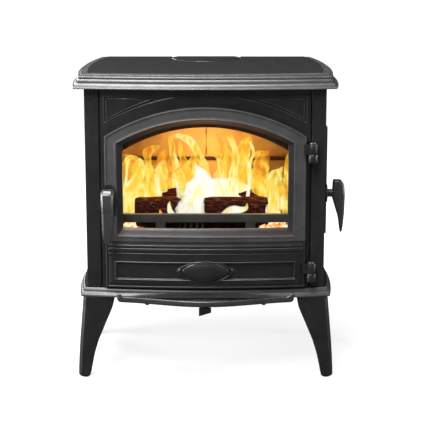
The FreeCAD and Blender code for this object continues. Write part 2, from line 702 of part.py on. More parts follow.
def door_fittings():
    rope = rope_ring("rope", "door_back_radius - 1.1", "door_back_radius + rope_depth", 0.1)
    gap = cylinder("rope_shaft_gap", "y", 8.5, ("latch_across", -230, "latch_height"), 60)
    node("door_rope_seal", cut("rope_with_gap", rope, gap))
    node("door_glass", bowed("glass", [
        arched("glass_half", "glass_bottom", "glass_shoulder - 1", "glass_arch_radius")],
        "glass_back_radius", "glass_back_radius + glass_thick"))
    node("glass_gasket", bowed("gasket", [
        arched("glass_half", "glass_bottom", "glass_shoulder - 1", "glass_arch_radius"),
        arched("glass_half - 7", "glass_bottom + 7", "glass_shoulder - 4", "glass_arch_radius - 7")],
        "glass_back_radius + glass_thick", "glass_back_radius + glass_thick + gasket_thick"))
    outlines = []
    for across, _, height in clip_places():
        if height > 360:
            left, right = sorted((across * 0.94, across + math.copysign(4, across)))
            outlines.append(rectangle(left, right, height - 8, height + 8))
        else:
            outlines.append(rectangle(across - 8, across + 8, height - 5, height + 10))
    clips = bowed("clip_plates", outlines, "glass_back_radius - 3.5", "door_back_radius")
    holes = [cylinder("clip_hole_%d" % index, "y", 2.1, (at[0], at[1] - 12, at[2]), 40)
             for index, at in enumerate(clip_places())]
    node("glass_clips", cut("glass_clip_plates", clips, fuse("clip_holes", holes)))
    screws = []
    for index, (across, _, height) in enumerate(clip_places()):
        back = value("bow_middle") - math.sqrt((value("glass_back_radius") - 3.5) ** 2 - across ** 2)
        shank = cylinder("clip_shank_%d" % index, "y", 2, (across, back - 9, height), 10)
        head = cylinder("clip_head_%d" % index, "y", 3.8, (across, back + 0.5, height), 2)
        screws.append(fuse("clip_screw_%d" % index, [shank, head]))
    node("glass_clip_screws", group("clip_screw_group", screws))


# ---------------------------------------------------------------- handles

def handle_profile(near, far):
    """Side view of a lever: square top outside, swelling grip, narrow tip below the shaft."""
    return [
        ("%s + 0" % near, 32), ("%s + 2.5" % far, 32, -11), ("%s + 11" % far, 22), ("%s + 13.5" % far, -5),
        ("%s + 12.6" % far, -45), ("%s + 8.5" % far, -94), ("%s + 6" % far, -97), ("%s + 3" % far, -96),
        ("%s - 2" % far, -60), ("%s - 3" % near, -10),
    ]


def front_handle():
    profile = [("-(%s)" % across, "latch_height + %s" % height) + tuple("11" for _ in extra)
               for across, height, *extra in handle_profile(223.5, 238)]
    side = pad("lever_side", "YZ", [profile], -260, 60)
    face = pad("lever_face", "XZ", [[
        ("latch_across - 14.7", "latch_height + 32"), ("latch_across - 12", "latch_height - 75"),
        ("latch_across - 7", "latch_height - 93"), ("latch_across - 3", "latch_height - 97"),
        ("latch_across + 3", "latch_height - 97"), ("latch_across + 7", "latch_height - 93"),
        ("latch_across + 12", "latch_height - 75"), ("latch_across + 14.7", "latch_height + 32"),
    ]], 200, 70)
    lever = common("front_lever", side, face)
    neck = cylinder("front_neck", "y", "neck_radius", ("latch_across", -228, "latch_height"), 14)
    shaft = cylinder("front_shaft_bar", "y", "shaft_radius", ("latch_across", -214, "latch_height"), 27)
    node("front_handle", fuse("front_handle_lever", [lever, neck]))
    node("front_handle_shaft", shaft)
    cam = box("front_cam_bar", ("latch_across - 6.5", "latch_across + 6.5"), (-187, -182),
              ("latch_height - 3", "latch_height + 3"))
    node("front_latch_cam", cam)
    disc = cylinder("front_boss_disc", "y", "boss_radius", ("latch_across", -212, "latch_height"), 14)
    oval = doc.addObject("Part::Ellipse", "front_boss_oval")
    oval.MajorRadius = value("oval_half_width")
    oval.MinorRadius = value("oval_half_height")
    oval.Placement = FreeCAD.Placement(Vector(value("latch_across"), -204.5, value("latch_height") + 1),
                                       FreeCAD.Rotation(Vector(0, 0, 1), Vector(1, 0, 0), Vector(0, 1, 0)))
    plate = doc.addObject("Part::Extrusion", "front_boss_plate")
    plate.Base = oval
    plate.DirMode = "Custom"
    plate.Dir = Vector(0, 1, 0)
    plate.LengthFwd = 12
    plate.Solid = True
    edge = box("front_boss_edge", ("-door_half + 0.2", 0), (-220, -190),
               ("latch_height - 50", "latch_height + 50"))
    boss = fuse("front_boss_solid", [disc, common("front_boss_clipped", plate, edge)])
    bore = cylinder("front_boss_bore", "y", "shaft_radius + shaft_play",
                    ("latch_across", -220, "latch_height"), 40)
    under = cylinder("front_boss_seat", "z", "door_radius", (0, "bow_middle", 400), 100)
    node("front_handle_boss", cut("front_boss", boss, fuse("front_boss_cuts", [bore, under])))


# ---------------------------------------------------------------- side loading door

def side_hinge_levels():
    return [(low, "%s + 21" % low) for low in (372, 540)]


def side_door():
    skin = box("side_skin_plate", ("side_skin", "side_skin + side_thick"), ("side_front", "side_rear"),
               ("side_low", "side_high"))
    parts, bores = [skin], []
    for index, (_, level) in enumerate(side_hinge_levels()):
        parts.append(cylinder("side_knuckle_%d" % index, "z", 8,
                              ("side_hinge_across", "side_hinge_depth", level), 23))
        parts.append(box("side_hinge_arm_%d" % index, ("side_skin + 0.5", "side_skin + side_thick"),
                         ("side_rear - 4", "side_hinge_depth - 2"), (level, level + " + 23")))
        bores.append(cylinder("side_knuckle_bore_%d" % index, "z", "pin_radius + shaft_play",
                              ("side_hinge_across", "side_hinge_depth", level + " - 5"), 40))
    shaft = cylinder("side_shaft_hole", "x", "shaft_radius + shaft_play",
                     (270, "side_latch_depth", "side_latch_height"), 40)
    groove = rope_frame("side_rope_groove", 0, 2.5)
    cuts = fuse("side_door_cuts", bores + [shaft, groove])
    node("side_door", cut("side_door_casting", fuse("side_door_solid", parts), cuts))
    node("side_door_rope_seal", rope_frame("side_rope", 0.1, 2.4))
    node("side_door_lining", box("side_plug", ("side_skin - 14", "side_skin"),
                                 ("side_front + 55", "side_rear - side_lap - 10"),
                                 ("side_low + side_lap + 10", "side_high - side_lap - 10")))
    side_hinges()


def rope_frame(name, play, depth):
    """A square rope ring let into the inner face of the side door."""
    outer = box(name + "_outer", ("side_skin - 0.2 + %s" % play, "side_skin + %s" % depth),
                ("side_front + 3 + %s" % play, "side_rear - 3 - %s" % play),
                ("side_low + 3 + %s" % play, "side_high - 3 - %s" % play))
    inner = box(name + "_inner", ("side_skin - 5", "side_skin + 5"),
                ("side_front + 9 - %s" % play, "side_rear - 9 + %s" % play),
                ("side_low + 9 - %s" % play, "side_high - 9 + %s" % play))
    return cut(name + "_ring", outer, inner)


def side_hinges():
    lugs, pins = [], []
    for index, (level, _) in enumerate(side_hinge_levels()):
        at = ("side_hinge_across", "side_hinge_depth", level)
        knuckle = cylinder("side_lug_round_%d" % index, "z", 8, at, 20)
        foot = box("side_lug_foot_%d" % index, ("body_half_width", "side_hinge_across"),
                   ("side_hinge_depth - 1", "side_hinge_depth + 8"), (level, "%s + 20" % level))
        bore = cylinder("side_lug_bore_%d" % index, "z", "pin_radius", at, 20)
        lugs.append(cut("side_lug_%d" % index, fuse("side_lug_solid_%d" % index, [knuckle, foot]), bore))
        rod = cylinder("side_pin_rod_%d" % index, "z", "pin_radius", at, 44.5)
        cap = cylinder("side_pin_cap_%d" % index, "z", "pin_radius + 2", at[:2] + ("%s + 44.5" % level,), 3)
        pins.append(fuse("side_pin_%d" % index, [rod, cap]))
    node("side_hinge_lugs", group("side_lug_pair", lugs))
    node("side_hinge_pins", group("side_pin_pair", pins))


def side_handle():
    profile = [(across, "side_latch_height + %s" % height) + tuple("-11" for _ in extra)
               for across, height, *extra in handle_profile(307, 323.2)]
    side = pad("side_lever_side", "XZ", [profile], 80, 70)
    face = pad("side_lever_face", "YZ", [[
        ("side_latch_depth - 13", "side_latch_height + 32"),
        ("side_latch_depth - 10", "side_latch_height - 40"),
        ("side_latch_depth - 5", "side_latch_height - 97"),
        ("side_latch_depth + 3", "side_latch_height - 97"),
        ("side_latch_depth + 9", "side_latch_height - 40"),
        ("side_latch_depth + 13", "side_latch_height + 32"),
    ]], 290, 60)
    at = ("side_latch_depth", "side_latch_height")
    neck = cylinder("side_neck", "x", 9.7, ("side_skin + side_thick + 4.5",) + at, 12)
    node("side_handle", fuse("side_handle_lever", [common("side_lever", side, face), neck]))
    node("side_handle_shaft", cylinder("side_shaft_bar", "x", "shaft_radius",
                                       ("side_skin - 2",) + at, "side_thick + 6.5"))
    node("side_latch_cam", box("side_cam_bar", ("side_skin - 7", "side_skin - 2"),
                               ("side_latch_depth - 13", "side_latch_depth + 7"),
                               ("side_latch_height - 5", "side_latch_height + 5")))
    disc = cylinder("side_boss_disc", "x", 22, ("side_skin + side_thick",) + at, 4)
    bore = cylinder("side_boss_bore", "x", "shaft_radius + shaft_play", ("side_skin",) + at, 30)
    node("side_handle_boss", cut("side_boss", disc, bore))


# ---------------------------------------------------------------- inside the firebox

def air_wash_frame():
    node("air_wash_frame", bowed("wash_frame", [
        rectangle("-fire_half - 10", "fire_half + 10", "fire_bottom + 0.5", "body_top - 15"),
        arched("view_half", "view_bottom", "view_shoulder", "view_arch_radius"),
    ], "plate_radius - wall_thick - 6", "plate_radius - wall_thick - 0.2"))


def linings():
    depth = (-166, "lining_back + lining_thick")
    height = ("floor_top", "baffle_height")
    outer = "lining_half + lining_thick"
    node("left_lining", box("left_lining_slab", ("-(%s)" % outer, "-lining_half"), depth, height))
    slab = box("right_lining_slab", ("lining_half", outer), depth, height)
    node("right_lining", cut("right_lining_cut", slab, side_opening("lining_opening")))
    back = ("lining_back", "lining_back + lining_thick")
    lower = box("lower_back_slab", ("0.2 - lining_half", "lining_half - 0.2"), back,
                ("floor_top", "ledge_height"))
    ledge = box("back_ledge", ("0.2 - lining_half", "lining_half - 0.2"),
                ("lining_back - 9", "lining_back + lining_thick"), ("ledge_height", "ledge_height + 9"))
    node("lower_back_lining", fuse("lower_back", [lower, ledge]))
    upper = ("ledge_height + 9.1", "baffle_height")
    node("upper_back_lining_left", box("upper_back_left", ("0.2 - lining_half", -0.5), back, upper))
    node("upper_back_lining_right", box("upper_back_right", (0.5, "lining_half - 0.2"), back, upper))
    node("baffle_plate", box("baffle_slab", ("-(%s)" % outer, outer), (-105, "lining_back + lining_thick"),
                             ("baffle_height + 0.1", "baffle_height + 9")))


def firebox_floor():
    slab = box("floor_slab", ("wall_thick - body_half_width + 0.2", "body_half_width - wall_thick - 0.2"),
               (-166, "body_back - wall_thick - 0.2"), ("floor_top - floor_thick", "floor_top"))
    seat = box("grate_seat", ("-grate_half - 1", "grate_half + 1"),
               ("grate_front - 1", "grate_back + grate_travel + 1.5"), ("floor_top - 8", "floor_top + 5"))
    throat = box("grate_throat", ("8 - grate_half", "grate_half - 8"), ("grate_front + 8", "grate_back + 8"),
                 ("floor_top - 20", "floor_top"))
    rods = [cylinder("floor_rod_hole_%d" % index, "z", "bolt_radius + 0.3", (across, depth, 300), 60)
            for index, (across, depth) in enumerate(tie_rod_places())]
    node("firebox_floor", cut("floor_casting", slab, fuse("floor_cuts", [seat, throat] + rods)))


def riddling_grate():
    plate = box("grate_plate", ("-grate_half", "grate_half"), ("grate_front", "grate_back"),
                ("floor_top - 7.5", "floor_top - 0.5"))
    slots = [box("grate_slot_%d" % index, ("%d*15 - 4" % index, "%d*15 + 4" % index),
                 ("grate_front + 12", "grate_back - 12"), ("floor_top - 20", "floor_top + 5"))
             for index in (-4, -3, -2, -1, 1, 2, 3, 4)]
    node("riddling_grate", cut("grate_casting", plate, fuse("grate_slots", slots)))
    lug = box("rod_lug", (-6, 6), (-70, -58), (312, "floor_top - 7.5"))
    rod = cylinder("rod_bar", "y", 4, (0, -176, 316), 110)
    knob = sphere("rod_knob", 8, (0, -176, 316))
    node("riddling_rod", fuse("riddling_rod_bar", [lug, rod, knob]))


def log_bar():
    rail = box("bar_rail", ("-bar_half", "bar_half"), ("bar_depth - 6", "bar_depth + 6"),
               ("bar_top - 20", "bar_top"))
    feet = [box("bar_foot_%d" % side, ("%d*108 - 11.5" % side, "%d*108 + 11.5" % side),
                ("bar_depth - 6", "bar_depth + 6"), ("floor_top", "bar_top - 20")) for side in (-1, 1)]
    node("log_bar", fuse("bar_casting", [rail] + feet))


def ash_pan():
    rails = [box("pan_rail_%d" % side, ("%d*130 - 10" % side, "%d*130 + 10" % side), (-180, 90),
                 ("base_top", "ash_door_low + 1.5")) for side in (-1, 1)]
    node("ash_pan_rails", group("pan_rail_pair", rails))
    foot = "ash_door_low + 2"
    outside = box("pan_outside", ("-pan_half", "pan_half"), ("pan_front", "pan_back"), (foot, "pan_top"))
    inside = box("pan_inside", ("pan_wall - pan_half", "pan_half - pan_wall"),
                 ("pan_front + pan_wall", "pan_back - pan_wall"), (foot + " + pan_wall", "pan_top + 10"))
    posts = [box("pan_post_%d" % side, ("%d*33 - 2" % side, "%d*33 + 2" % side),
                 ("pan_front - 13", "pan_front"), (268, 280)) for side in (-1, 1)]
    bar = box("pan_bar", (-35, 35), ("pan_front - 14", "pan_front - 11"), (268, 280))
    shell = cut("pan_shell", outside, inside)
    node("ash_pan", fuse("pan_sheet", [shell, bar] + posts))


LOGS = {
    "left_log": ((-172, -90), (-66, -74)),
    "right_log": ((-6, -86), (152, -76)),
    "back_log": ((-112, 22), (132, 34)),
}


def logs():
    radius = 42
    for label, ((x_start, y_start), (x_end, y_end)) in LOGS.items():
        run = Vector(x_end - x_start, y_end - y_start, 0)
        billet = doc.addObject("Part::Cylinder", label + "_billet")
        billet.Radius = radius
        billet.Height = run.Length
        foot = Vector(x_start, y_start, value("floor_top") + radius + 0.5)
        billet.Placement = FreeCAD.Placement(foot, FreeCAD.Rotation(Vector(0, 0, 1), run))
        node(label, billet)


build_order = [
    top_plate, flue_cover, base_plate, front_plate, side_panels, back_panel, flue_collar, tie_rods,
    legs, ash_lip, air_slide, front_door, frame_hinges, door_fittings, front_handle, side_door,
    side_handle, air_wash_frame, linings, firebox_floor, riddling_grate, log_bar, ash_pan, logs,
]
for build in build_order:
    build()
doc.recompute()

os.makedirs("parts", exist_ok=True)
for feature in doc.Objects:
    if "Invalid" in feature.State or "Error" in feature.State:
        raise RuntimeError("%s did not compute: %s" % (feature.Name, feature.State))
for feature in nodes:
    if feature.Shape.isNull() or not feature.Shape.isValid() or not feature.Shape.Solids:
        raise RuntimeError("%s has no valid solid" % feature.Label)
    feature.Shape.exportStep("parts/%s.step" % feature.Label)
    print("%-22s %2d solids %10.1f mm3" % (feature.Label, len(feature.Shape.Solids), feature.Shape.Volume))
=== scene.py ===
import math
import random

import bmesh
import bpy
import numpy as np
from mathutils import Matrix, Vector, noise as field


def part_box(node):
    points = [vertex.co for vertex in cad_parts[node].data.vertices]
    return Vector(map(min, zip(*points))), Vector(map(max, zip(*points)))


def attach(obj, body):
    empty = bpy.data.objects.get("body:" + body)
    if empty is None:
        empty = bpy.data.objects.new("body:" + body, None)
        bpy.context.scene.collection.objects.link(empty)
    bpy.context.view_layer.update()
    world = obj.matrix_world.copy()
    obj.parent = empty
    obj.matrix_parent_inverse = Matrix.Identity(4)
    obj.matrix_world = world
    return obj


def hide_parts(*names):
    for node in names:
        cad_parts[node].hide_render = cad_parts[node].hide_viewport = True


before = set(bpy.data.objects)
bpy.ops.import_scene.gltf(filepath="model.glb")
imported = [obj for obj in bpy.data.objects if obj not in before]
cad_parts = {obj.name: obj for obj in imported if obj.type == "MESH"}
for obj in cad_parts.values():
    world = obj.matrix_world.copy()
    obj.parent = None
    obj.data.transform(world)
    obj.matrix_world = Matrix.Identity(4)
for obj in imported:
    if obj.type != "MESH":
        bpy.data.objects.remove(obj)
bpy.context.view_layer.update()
MM = 0.001


def edge(node, corner, axis):
    """One side of a CAD node's box in millimetres: corner 0 is the low one, 1 the high one."""
    return round(getattr(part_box(node)[corner], axis) / MM, 1)


def middle(node, axis):
    low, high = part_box(node)
    return (getattr(low, axis) + getattr(high, axis)) / 2 / MM



# ---------------------------------------------------------------- materials

def new_material(name):
    """An empty node material: (material, nodes, link, principled shader)."""
    material = bpy.data.materials.new(name)
    material.use_nodes = True
    tree = material.node_tree
    return material, tree.nodes, tree.links.new, tree.nodes["Principled BSDF"]


def noise(nodes, link, scale, detail=4.0, roughness=0.6, stretch=(1, 1, 1), twist=0.0, space="Object"):
    """Noise of a given scale, per metre in object space."""
    place = nodes.new("ShaderNodeTexCoord")
    mapping = nodes.new("ShaderNodeMapping")
    mapping.inputs["Scale"].default_value = stretch
    texture = nodes.new("ShaderNodeTexNoise")
    texture.inputs["Scale"].default_value = scale
    texture.inputs["Detail"].default_value = detail
    texture.inputs["Roughness"].default_value = roughness
    texture.inputs["Distortion"].default_value = twist
    link(place.outputs[space], mapping.inputs["Vector"])
    link(mapping.outputs["Vector"], texture.inputs["Vector"])
    return texture.outputs["Fac"]


def ramp(nodes, link, factor, stops):
    """A colour ramp through (position, colour) stops."""
    band = nodes.new("ShaderNodeValToRGB")
    elements = band.color_ramp.elements
    while len(elements) > 1:
        elements.remove(elements[0])
    elements[0].position, elements[0].color = stops[0][0], (*stops[0][1], 1)
    for position, colour in stops[1:]:
        elements.new(position).color = (*colour, 1)
    link(factor, band.inputs["Fac"])
    return band.outputs["Color"]


def bump(nodes, link, height, strength, distance):
    """Fine relief from a height texture; the distance is in metres."""
    node = nodes.new("ShaderNodeBump")
    node.inputs["Strength"].default_value = strength
    node.inputs["Distance"].default_value = distance
    link(height, node.inputs["Height"])
    return node.outputs["Normal"]


def math_node(nodes, link, operation, *values):
    """A sum or product of sockets and plain numbers."""
    node = nodes.new("ShaderNodeMath")
    node.operation = operation
    for index, value in enumerate(values):
        if isinstance(value, (int, float)):
            node.inputs[index].default_value = value
        else:
            link(value, node.inputs[index])
    return node.outputs[0]


def grey(level):
    return (level, level, level)


def split_coordinate(nodes, link, kind):
    """The separate axes of a texture coordinate."""
    split = nodes.new("ShaderNodeSeparateXYZ")
    link(nodes.new("ShaderNodeTexCoord").outputs[kind], split.inputs["Vector"])
    return split.outputs


def see_through(nodes, link, shader, amount, surface, tint=(1, 1, 1)):
    """Swaps the principled shader for a clear one that the surface covers by an amount."""
    clear = nodes.new("ShaderNodeBsdfTransparent")
    clear.inputs["Color"].default_value = (*tint, 1)
    mix = nodes.new("ShaderNodeMixShader")
    link(amount, mix.inputs["Fac"])
    link(clear.outputs["BSDF"], mix.inputs[1])
    link(surface, mix.inputs[2])
    link(mix.outputs["Shader"], nodes["Material Output"].inputs["Surface"])
    nodes.remove(shader)


def cast_iron(name, dark, light, rough=0.5, grain=0.3):
    """Sand-cast iron under matte stove paint: mottled tone and a fine grain."""
    material, nodes, link, shader = new_material(name)
    mottle = noise(nodes, link, 30, 6, 0.65)
    polish = noise(nodes, link, 70)
    sand = noise(nodes, link, 1100, 2, 0.5)
    link(ramp(nodes, link, mottle, [(0.3, grey(dark)), (0.7, grey(light))]), shader.inputs["Base Color"])
    link(ramp(nodes, link, polish, [(0.3, grey(rough - 0.05)), (0.7, grey(rough + 0.06))]),
         shader.inputs["Roughness"])
    link(bump(nodes, link, sand, grain, 0.0002), shader.inputs["Normal"])
    shader.inputs["Specular IOR Level"].default_value = 0.5
    return material


def painted_firelight_iron():
    """The bevel round the window with painted firelight: an amber glow painted along the arch, a dull red one
    on the sill.
    """
    material = cast_iron("cast_iron_painted_firelight", 0.006, 0.01, 0.4, 0.3)
    nodes, link = material.node_tree.nodes, material.node_tree.links.new
    level = nodes.new("ShaderNodeMapRange")
    link(split_coordinate(nodes, link, "Object")["Z"], level.inputs["Value"])
    level.inputs["From Min"].default_value = 0.34
    level.inputs["From Max"].default_value = 0.68
    shader = nodes["Principled BSDF"]
    # painted firelight: a dull red glow low on the sill, none in the middle, amber high on the arch
    link(ramp(nodes, link, level.outputs["Result"], [
        (0.04, (0.028, 0.009, 0.007)), (0.16, (0.0, 0.0, 0.0)), (0.72, (0.004, 0.001, 0.0)),
        (0.84, (0.06, 0.022, 0.005)), (0.92, (0.26, 0.125, 0.04))]), shader.inputs["Emission Color"])
    shader.inputs["Emission Strength"].default_value = 1.0
    return material


def steel():
    """Bright turned steel of pins, shafts and screws, a little heat tinted."""
    material, nodes, link, shader = new_material("bare_steel")
    tint = noise(nodes, link, 90, 3)
    link(ramp(nodes, link, tint, [(0.3, (0.25, 0.23, 0.21)), (0.7, (0.38, 0.37, 0.36))]),
         shader.inputs["Base Color"])
    link(ramp(nodes, link, noise(nodes, link, 300), [(0, grey(0.3)), (1, grey(0.45))]),
         shader.inputs["Roughness"])
    shader.inputs["Metallic"].default_value = 1
    return material


def lining():
    """Fire-bleached lining plates: tan with soot clouds."""
    material, nodes, link, shader = new_material("lining_plate")
    cloud = noise(nodes, link, 9, 5, 0.6)
    link(ramp(nodes, link, cloud, [(0.28, (0.26, 0.15, 0.06)), (0.5, (0.48, 0.31, 0.13)),
                                   (0.75, (0.62, 0.43, 0.2))]), shader.inputs["Base Color"])
    link(bump(nodes, link, noise(nodes, link, 250, 4), 0.4, 0.0006), shader.inputs["Normal"])
    shader.inputs["Roughness"].default_value = 0.9
    return material


def soot():
    """Dull black-brown soot in the joints of the lining, also laid as a painted shadow under the ledge."""
    material, nodes, link, shader = new_material("soot")
    cloud = noise(nodes, link, 120, 4)
    link(ramp(nodes, link, cloud, [(0.3, (0.012, 0.004, 0.002)), (0.7, (0.05, 0.018, 0.008))]),
         shader.inputs["Base Color"])
    shader.inputs["Roughness"].default_value = 1.0
    return material


def rope():
    """Woven glass-fibre rope, grey from soot."""
    material, nodes, link, shader = new_material("seal_rope")
    place = nodes.new("ShaderNodeTexCoord")
    weave = nodes.new("ShaderNodeTexWave")
    weave.inputs["Scale"].default_value = 180
    weave.inputs["Distortion"].default_value = 1.5
    weave.bands_direction = "DIAGONAL"
    link(place.outputs["Object"], weave.inputs["Vector"])
    link(ramp(nodes, link, weave.outputs["Fac"], [(0, grey(0.02)), (1, grey(0.09))]),
         shader.inputs["Base Color"])
    link(bump(nodes, link, weave.outputs["Fac"], 0.8, 0.0008), shader.inputs["Normal"])
    shader.inputs["Roughness"].default_value = 0.95
    return material


def glass():
    """Clear ceramic glass: see-through, with a faint gloss toward grazing angles."""
    material, nodes, link, shader = new_material("ceramic_glass")
    gloss = nodes.new("ShaderNodeBsdfGlossy")
    gloss.inputs["Roughness"].default_value = 0.08
    slant = nodes.new("ShaderNodeLayerWeight")
    slant.inputs["Blend"].default_value = 0.5
    shine = ramp(nodes, link, slant.outputs["Facing"],
                 [(0.3, grey(0.015)), (0.75, grey(0.08)), (1, grey(0.5))])
    see_through(nodes, link, shader, shine, gloss.outputs["BSDF"], (0.99, 0.985, 0.96))
    return material


def bark():
    """Charred bark: maroon ridges over black furrows, with a few glowing cracks."""
    material, nodes, link, shader = new_material("log_bark")
    ridge = noise(nodes, link, 1, 6, 0.5, (46, 7, 1), space="UV")
    link(ramp(nodes, link, ridge, [(0.4, (0.008, 0.001, 0.001)), (0.52, (0.022, 0.003, 0.002)),
                                   (0.6, (0.06, 0.011, 0.006)), (0.72, (0.2, 0.05, 0.03))]),
         shader.inputs["Base Color"])
    link(ramp(nodes, link, ridge, [(0.27, (0.9, 0.12, 0.01)), (0.33, (0.0, 0.0, 0.0))]),
         shader.inputs["Emission Color"])
    shader.inputs["Emission Strength"].default_value = 0.6
    link(bump(nodes, link, ridge, 0.9, 0.004), shader.inputs["Normal"])
    shader.inputs["Roughness"].default_value = 0.85
    shader.inputs["Specular IOR Level"].default_value = 0.1
    material.cycles.emission_sampling = "NONE"
    return material


def ember():
    """Glowing charcoal: white-yellow hearts, orange skins and dark crusts."""
    material, nodes, link, shader = new_material("ember")
    heat = noise(nodes, link, 55, 4, 0.6)
    link(ramp(nodes, link, heat, [(0.34, grey(0.02)), (0.5, (0.3, 0.06, 0.01)), (0.7, (0.9, 0.4, 0.1))]),
         shader.inputs["Base Color"])
    link(ramp(nodes, link, heat, [(0.3, (0.08, 0.0, 0.0)), (0.38, (0.95, 0.2, 0.03)), (0.47, (1.0, 0.6, 0.2)),
                                  (0.58, (1.0, 0.9, 0.7))]), shader.inputs["Emission Color"])
    shader.inputs["Emission Strength"].default_value = 1.1
    shader.inputs["Roughness"].default_value = 0.9
    material.cycles.emission_sampling = "NONE"
    return material


def flame(heat, hollow):
    """Burning gas: a see-through tongue, solid in its heart or only along its edges, cooling upward."""
    material, nodes, link, shader = new_material("flame_%d_%d" % (round(heat * 100), round(hollow * 100)))
    place = split_coordinate(nodes, link, "UV")
    up = place["Y"]
    lick = noise(nodes, link, 1, 2, 0.5, (30, 30, 11), 2.2)
    waver = noise(nodes, link, 1, 2, 0.5, (24, 24, 30), 0.5)
    sway = math_node(nodes, link, "MULTIPLY_ADD", waver, 0.7, -0.35)
    across = math_node(nodes, link, "ADD", place["X"], sway)
    # how solid: fades at the sides, at the root and at the tip, and thins in the middle of a hollow tongue
    edge = ramp(nodes, link, across, [(0, grey(0)), (0.06, grey(0.6)), (0.2, grey(1)), (0.8, grey(1)),
                                      (0.94, grey(0.6)), (1, grey(0))])
    rise = ramp(nodes, link, up, [(0, grey(0)), (0.07, grey(0.9)), (0.7, grey(1)), (1, grey(0.4))])
    core = ramp(nodes, link, across, [(0.06, grey(0)), (0.3, grey(0.9)), (0.7, grey(0.9)), (0.94, grey(0))])
    holes = ramp(nodes, link, lick, [(0.4, grey(1)), (0.6, grey(0.15))])
    thin = math_node(nodes, link, "MULTIPLY", math_node(nodes, link, "MULTIPLY", core, holes), hollow)
    body = math_node(nodes, link, "MULTIPLY", edge, rise)
    solid = math_node(nodes, link, "MULTIPLY", body, math_node(nodes, link, "SUBTRACT", 1.0, thin))
    # hotter is paler: streaks of heat along the tongue, cooler toward the tip
    streak = math_node(nodes, link, "MULTIPLY_ADD", lick, 1.2, heat - 0.72)
    pale_edge = math_node(nodes, link, "MULTIPLY_ADD", core, -0.16, streak)
    warmth = math_node(nodes, link, "MULTIPLY_ADD", up, -0.25, pale_edge)
    colour = ramp(nodes, link, warmth, [
        (0.0, (0.84, 0.24, 0.02)), (0.2, (0.95, 0.4, 0.03)), (0.4, (1.0, 0.64, 0.06)),
        (0.6, (1.0, 0.85, 0.22)), (0.75, (1.0, 0.95, 0.5)), (0.9, (1.0, 1.0, 0.92))])
    light = nodes.new("ShaderNodeEmission")
    link(colour, light.inputs["Color"])
    light.inputs["Strength"].default_value = 1.12
    see_through(nodes, link, shader, solid, light.outputs["Emission"])
    material.cycles.emission_sampling = "NONE"
    return material


IRON = cast_iron("cast_iron_paint", 0.006, 0.011, 0.36)
# a lighter, coarser copy for the door band and the log bar: its coarser grain is real, its lighter tone a
# painted sheen
IRON_PAINTED_SHEEN_BAND = cast_iron("cast_iron_painted_sheen_band", 0.02, 0.036, 0.46, 0.8)
# a lighter copy of the iron for the ash lip, the levers and the fine cast lines: painted highlight
IRON_PAINTED_HIGHLIGHT_EDGE = cast_iron("cast_iron_painted_highlight_edge", 0.016, 0.024, 0.3, 0.2)
# a lighter copy of the iron for the mouldings: painted highlight
IRON_PAINTED_HIGHLIGHT_MOULDING = cast_iron("cast_iron_painted_highlight_moulding", 0.03, 0.046, 0.34, 0.2)
IRON_PAINTED_FIRELIGHT = painted_firelight_iron()
SOOT_AND_PAINTED_SHADE = soot()
STEEL = steel()
LINING = lining()
ROPE = rope()
BARK = bark()
EMBER = ember()
# the log bar takes the band iron, its lighter tone a painted sheen
NODE_MATERIALS = {"door_glass": glass(), "log_bar": IRON_PAINTED_SHEEN_BAND}
NODE_MATERIALS |= dict.fromkeys(("air_wash_frame", "glass_gasket"), SOOT_AND_PAINTED_SHADE)
NODE_MATERIALS |= dict.fromkeys(("door_rope_seal", "side_door_rope_seal"), ROPE)
NODE_MATERIALS |= dict.fromkeys((
    "glass_clips", "glass_clip_screws", "door_hinge_pins", "side_hinge_pins", "front_handle_shaft",
    "side_handle_shaft", "front_latch_cam", "side_latch_cam", "tie_rods", "riddling_rod"), STEEL)
NODE_MATERIALS |= dict.fromkeys((
    "left_lining", "right_lining", "lower_back_lining", "upper_back_lining_left",
    "upper_back_lining_right", "side_door_lining", "baffle_plate"), LINING)
UNBEVELLED = ("door_glass", "front_plate", "air_wash_frame")
LEG_ROUNDING, EDGE_ROUNDING = 0.0026, 0.0008


def dress_cad():
    """Every CAD node gets a finished material; edges are rounded without touching the mesh."""
    for node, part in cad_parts.items():
        part.data.materials.clear()
        part.data.materials.append(NODE_MATERIALS.get(node, IRON))
        if node in UNBEVELLED:
            continue
        weld = part.modifiers.new("weld", "WELD")
        weld.merge_threshold = 0.00002
        bevel = part.modifiers.new("round_edges", "BEVEL")
        bevel.width = LEG_ROUNDING if node.endswith("_leg") else EDGE_ROUNDING
        bevel.segments = 2
        bevel.limit_method = "ANGLE"
        bevel.angle_limit = math.radians(35)
        bevel.harden_normals = True


dress_cad()


# ---------------------------------------------------------------- mesh helpers

def piece(name, verts, faces, material, body="stove", smooth=True, replaces=(), uvs=None):
    """A new mesh piece in metres from millimetre points."""
    mesh = bpy.data.meshes.new(name)
    mesh.from_pydata([tuple(axis * MM for axis in vert) for vert in verts], [], faces)
    if uvs is not None:
        layer = mesh.uv_layers.new(name="UVMap")
        for loop in mesh.loops:
            layer.data[loop.index].uv = uvs[loop.vertex_index]
    mesh.validate()
    mesh.polygons.foreach_set("use_smooth", [smooth] * len(mesh.polygons))
    mesh.materials.append(material)
    thing = bpy.data.objects.new(name, mesh)
    bpy.context.scene.collection.objects.link(thing)
    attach(thing, body)
    if replaces:
        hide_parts(*replaces)
    return thing


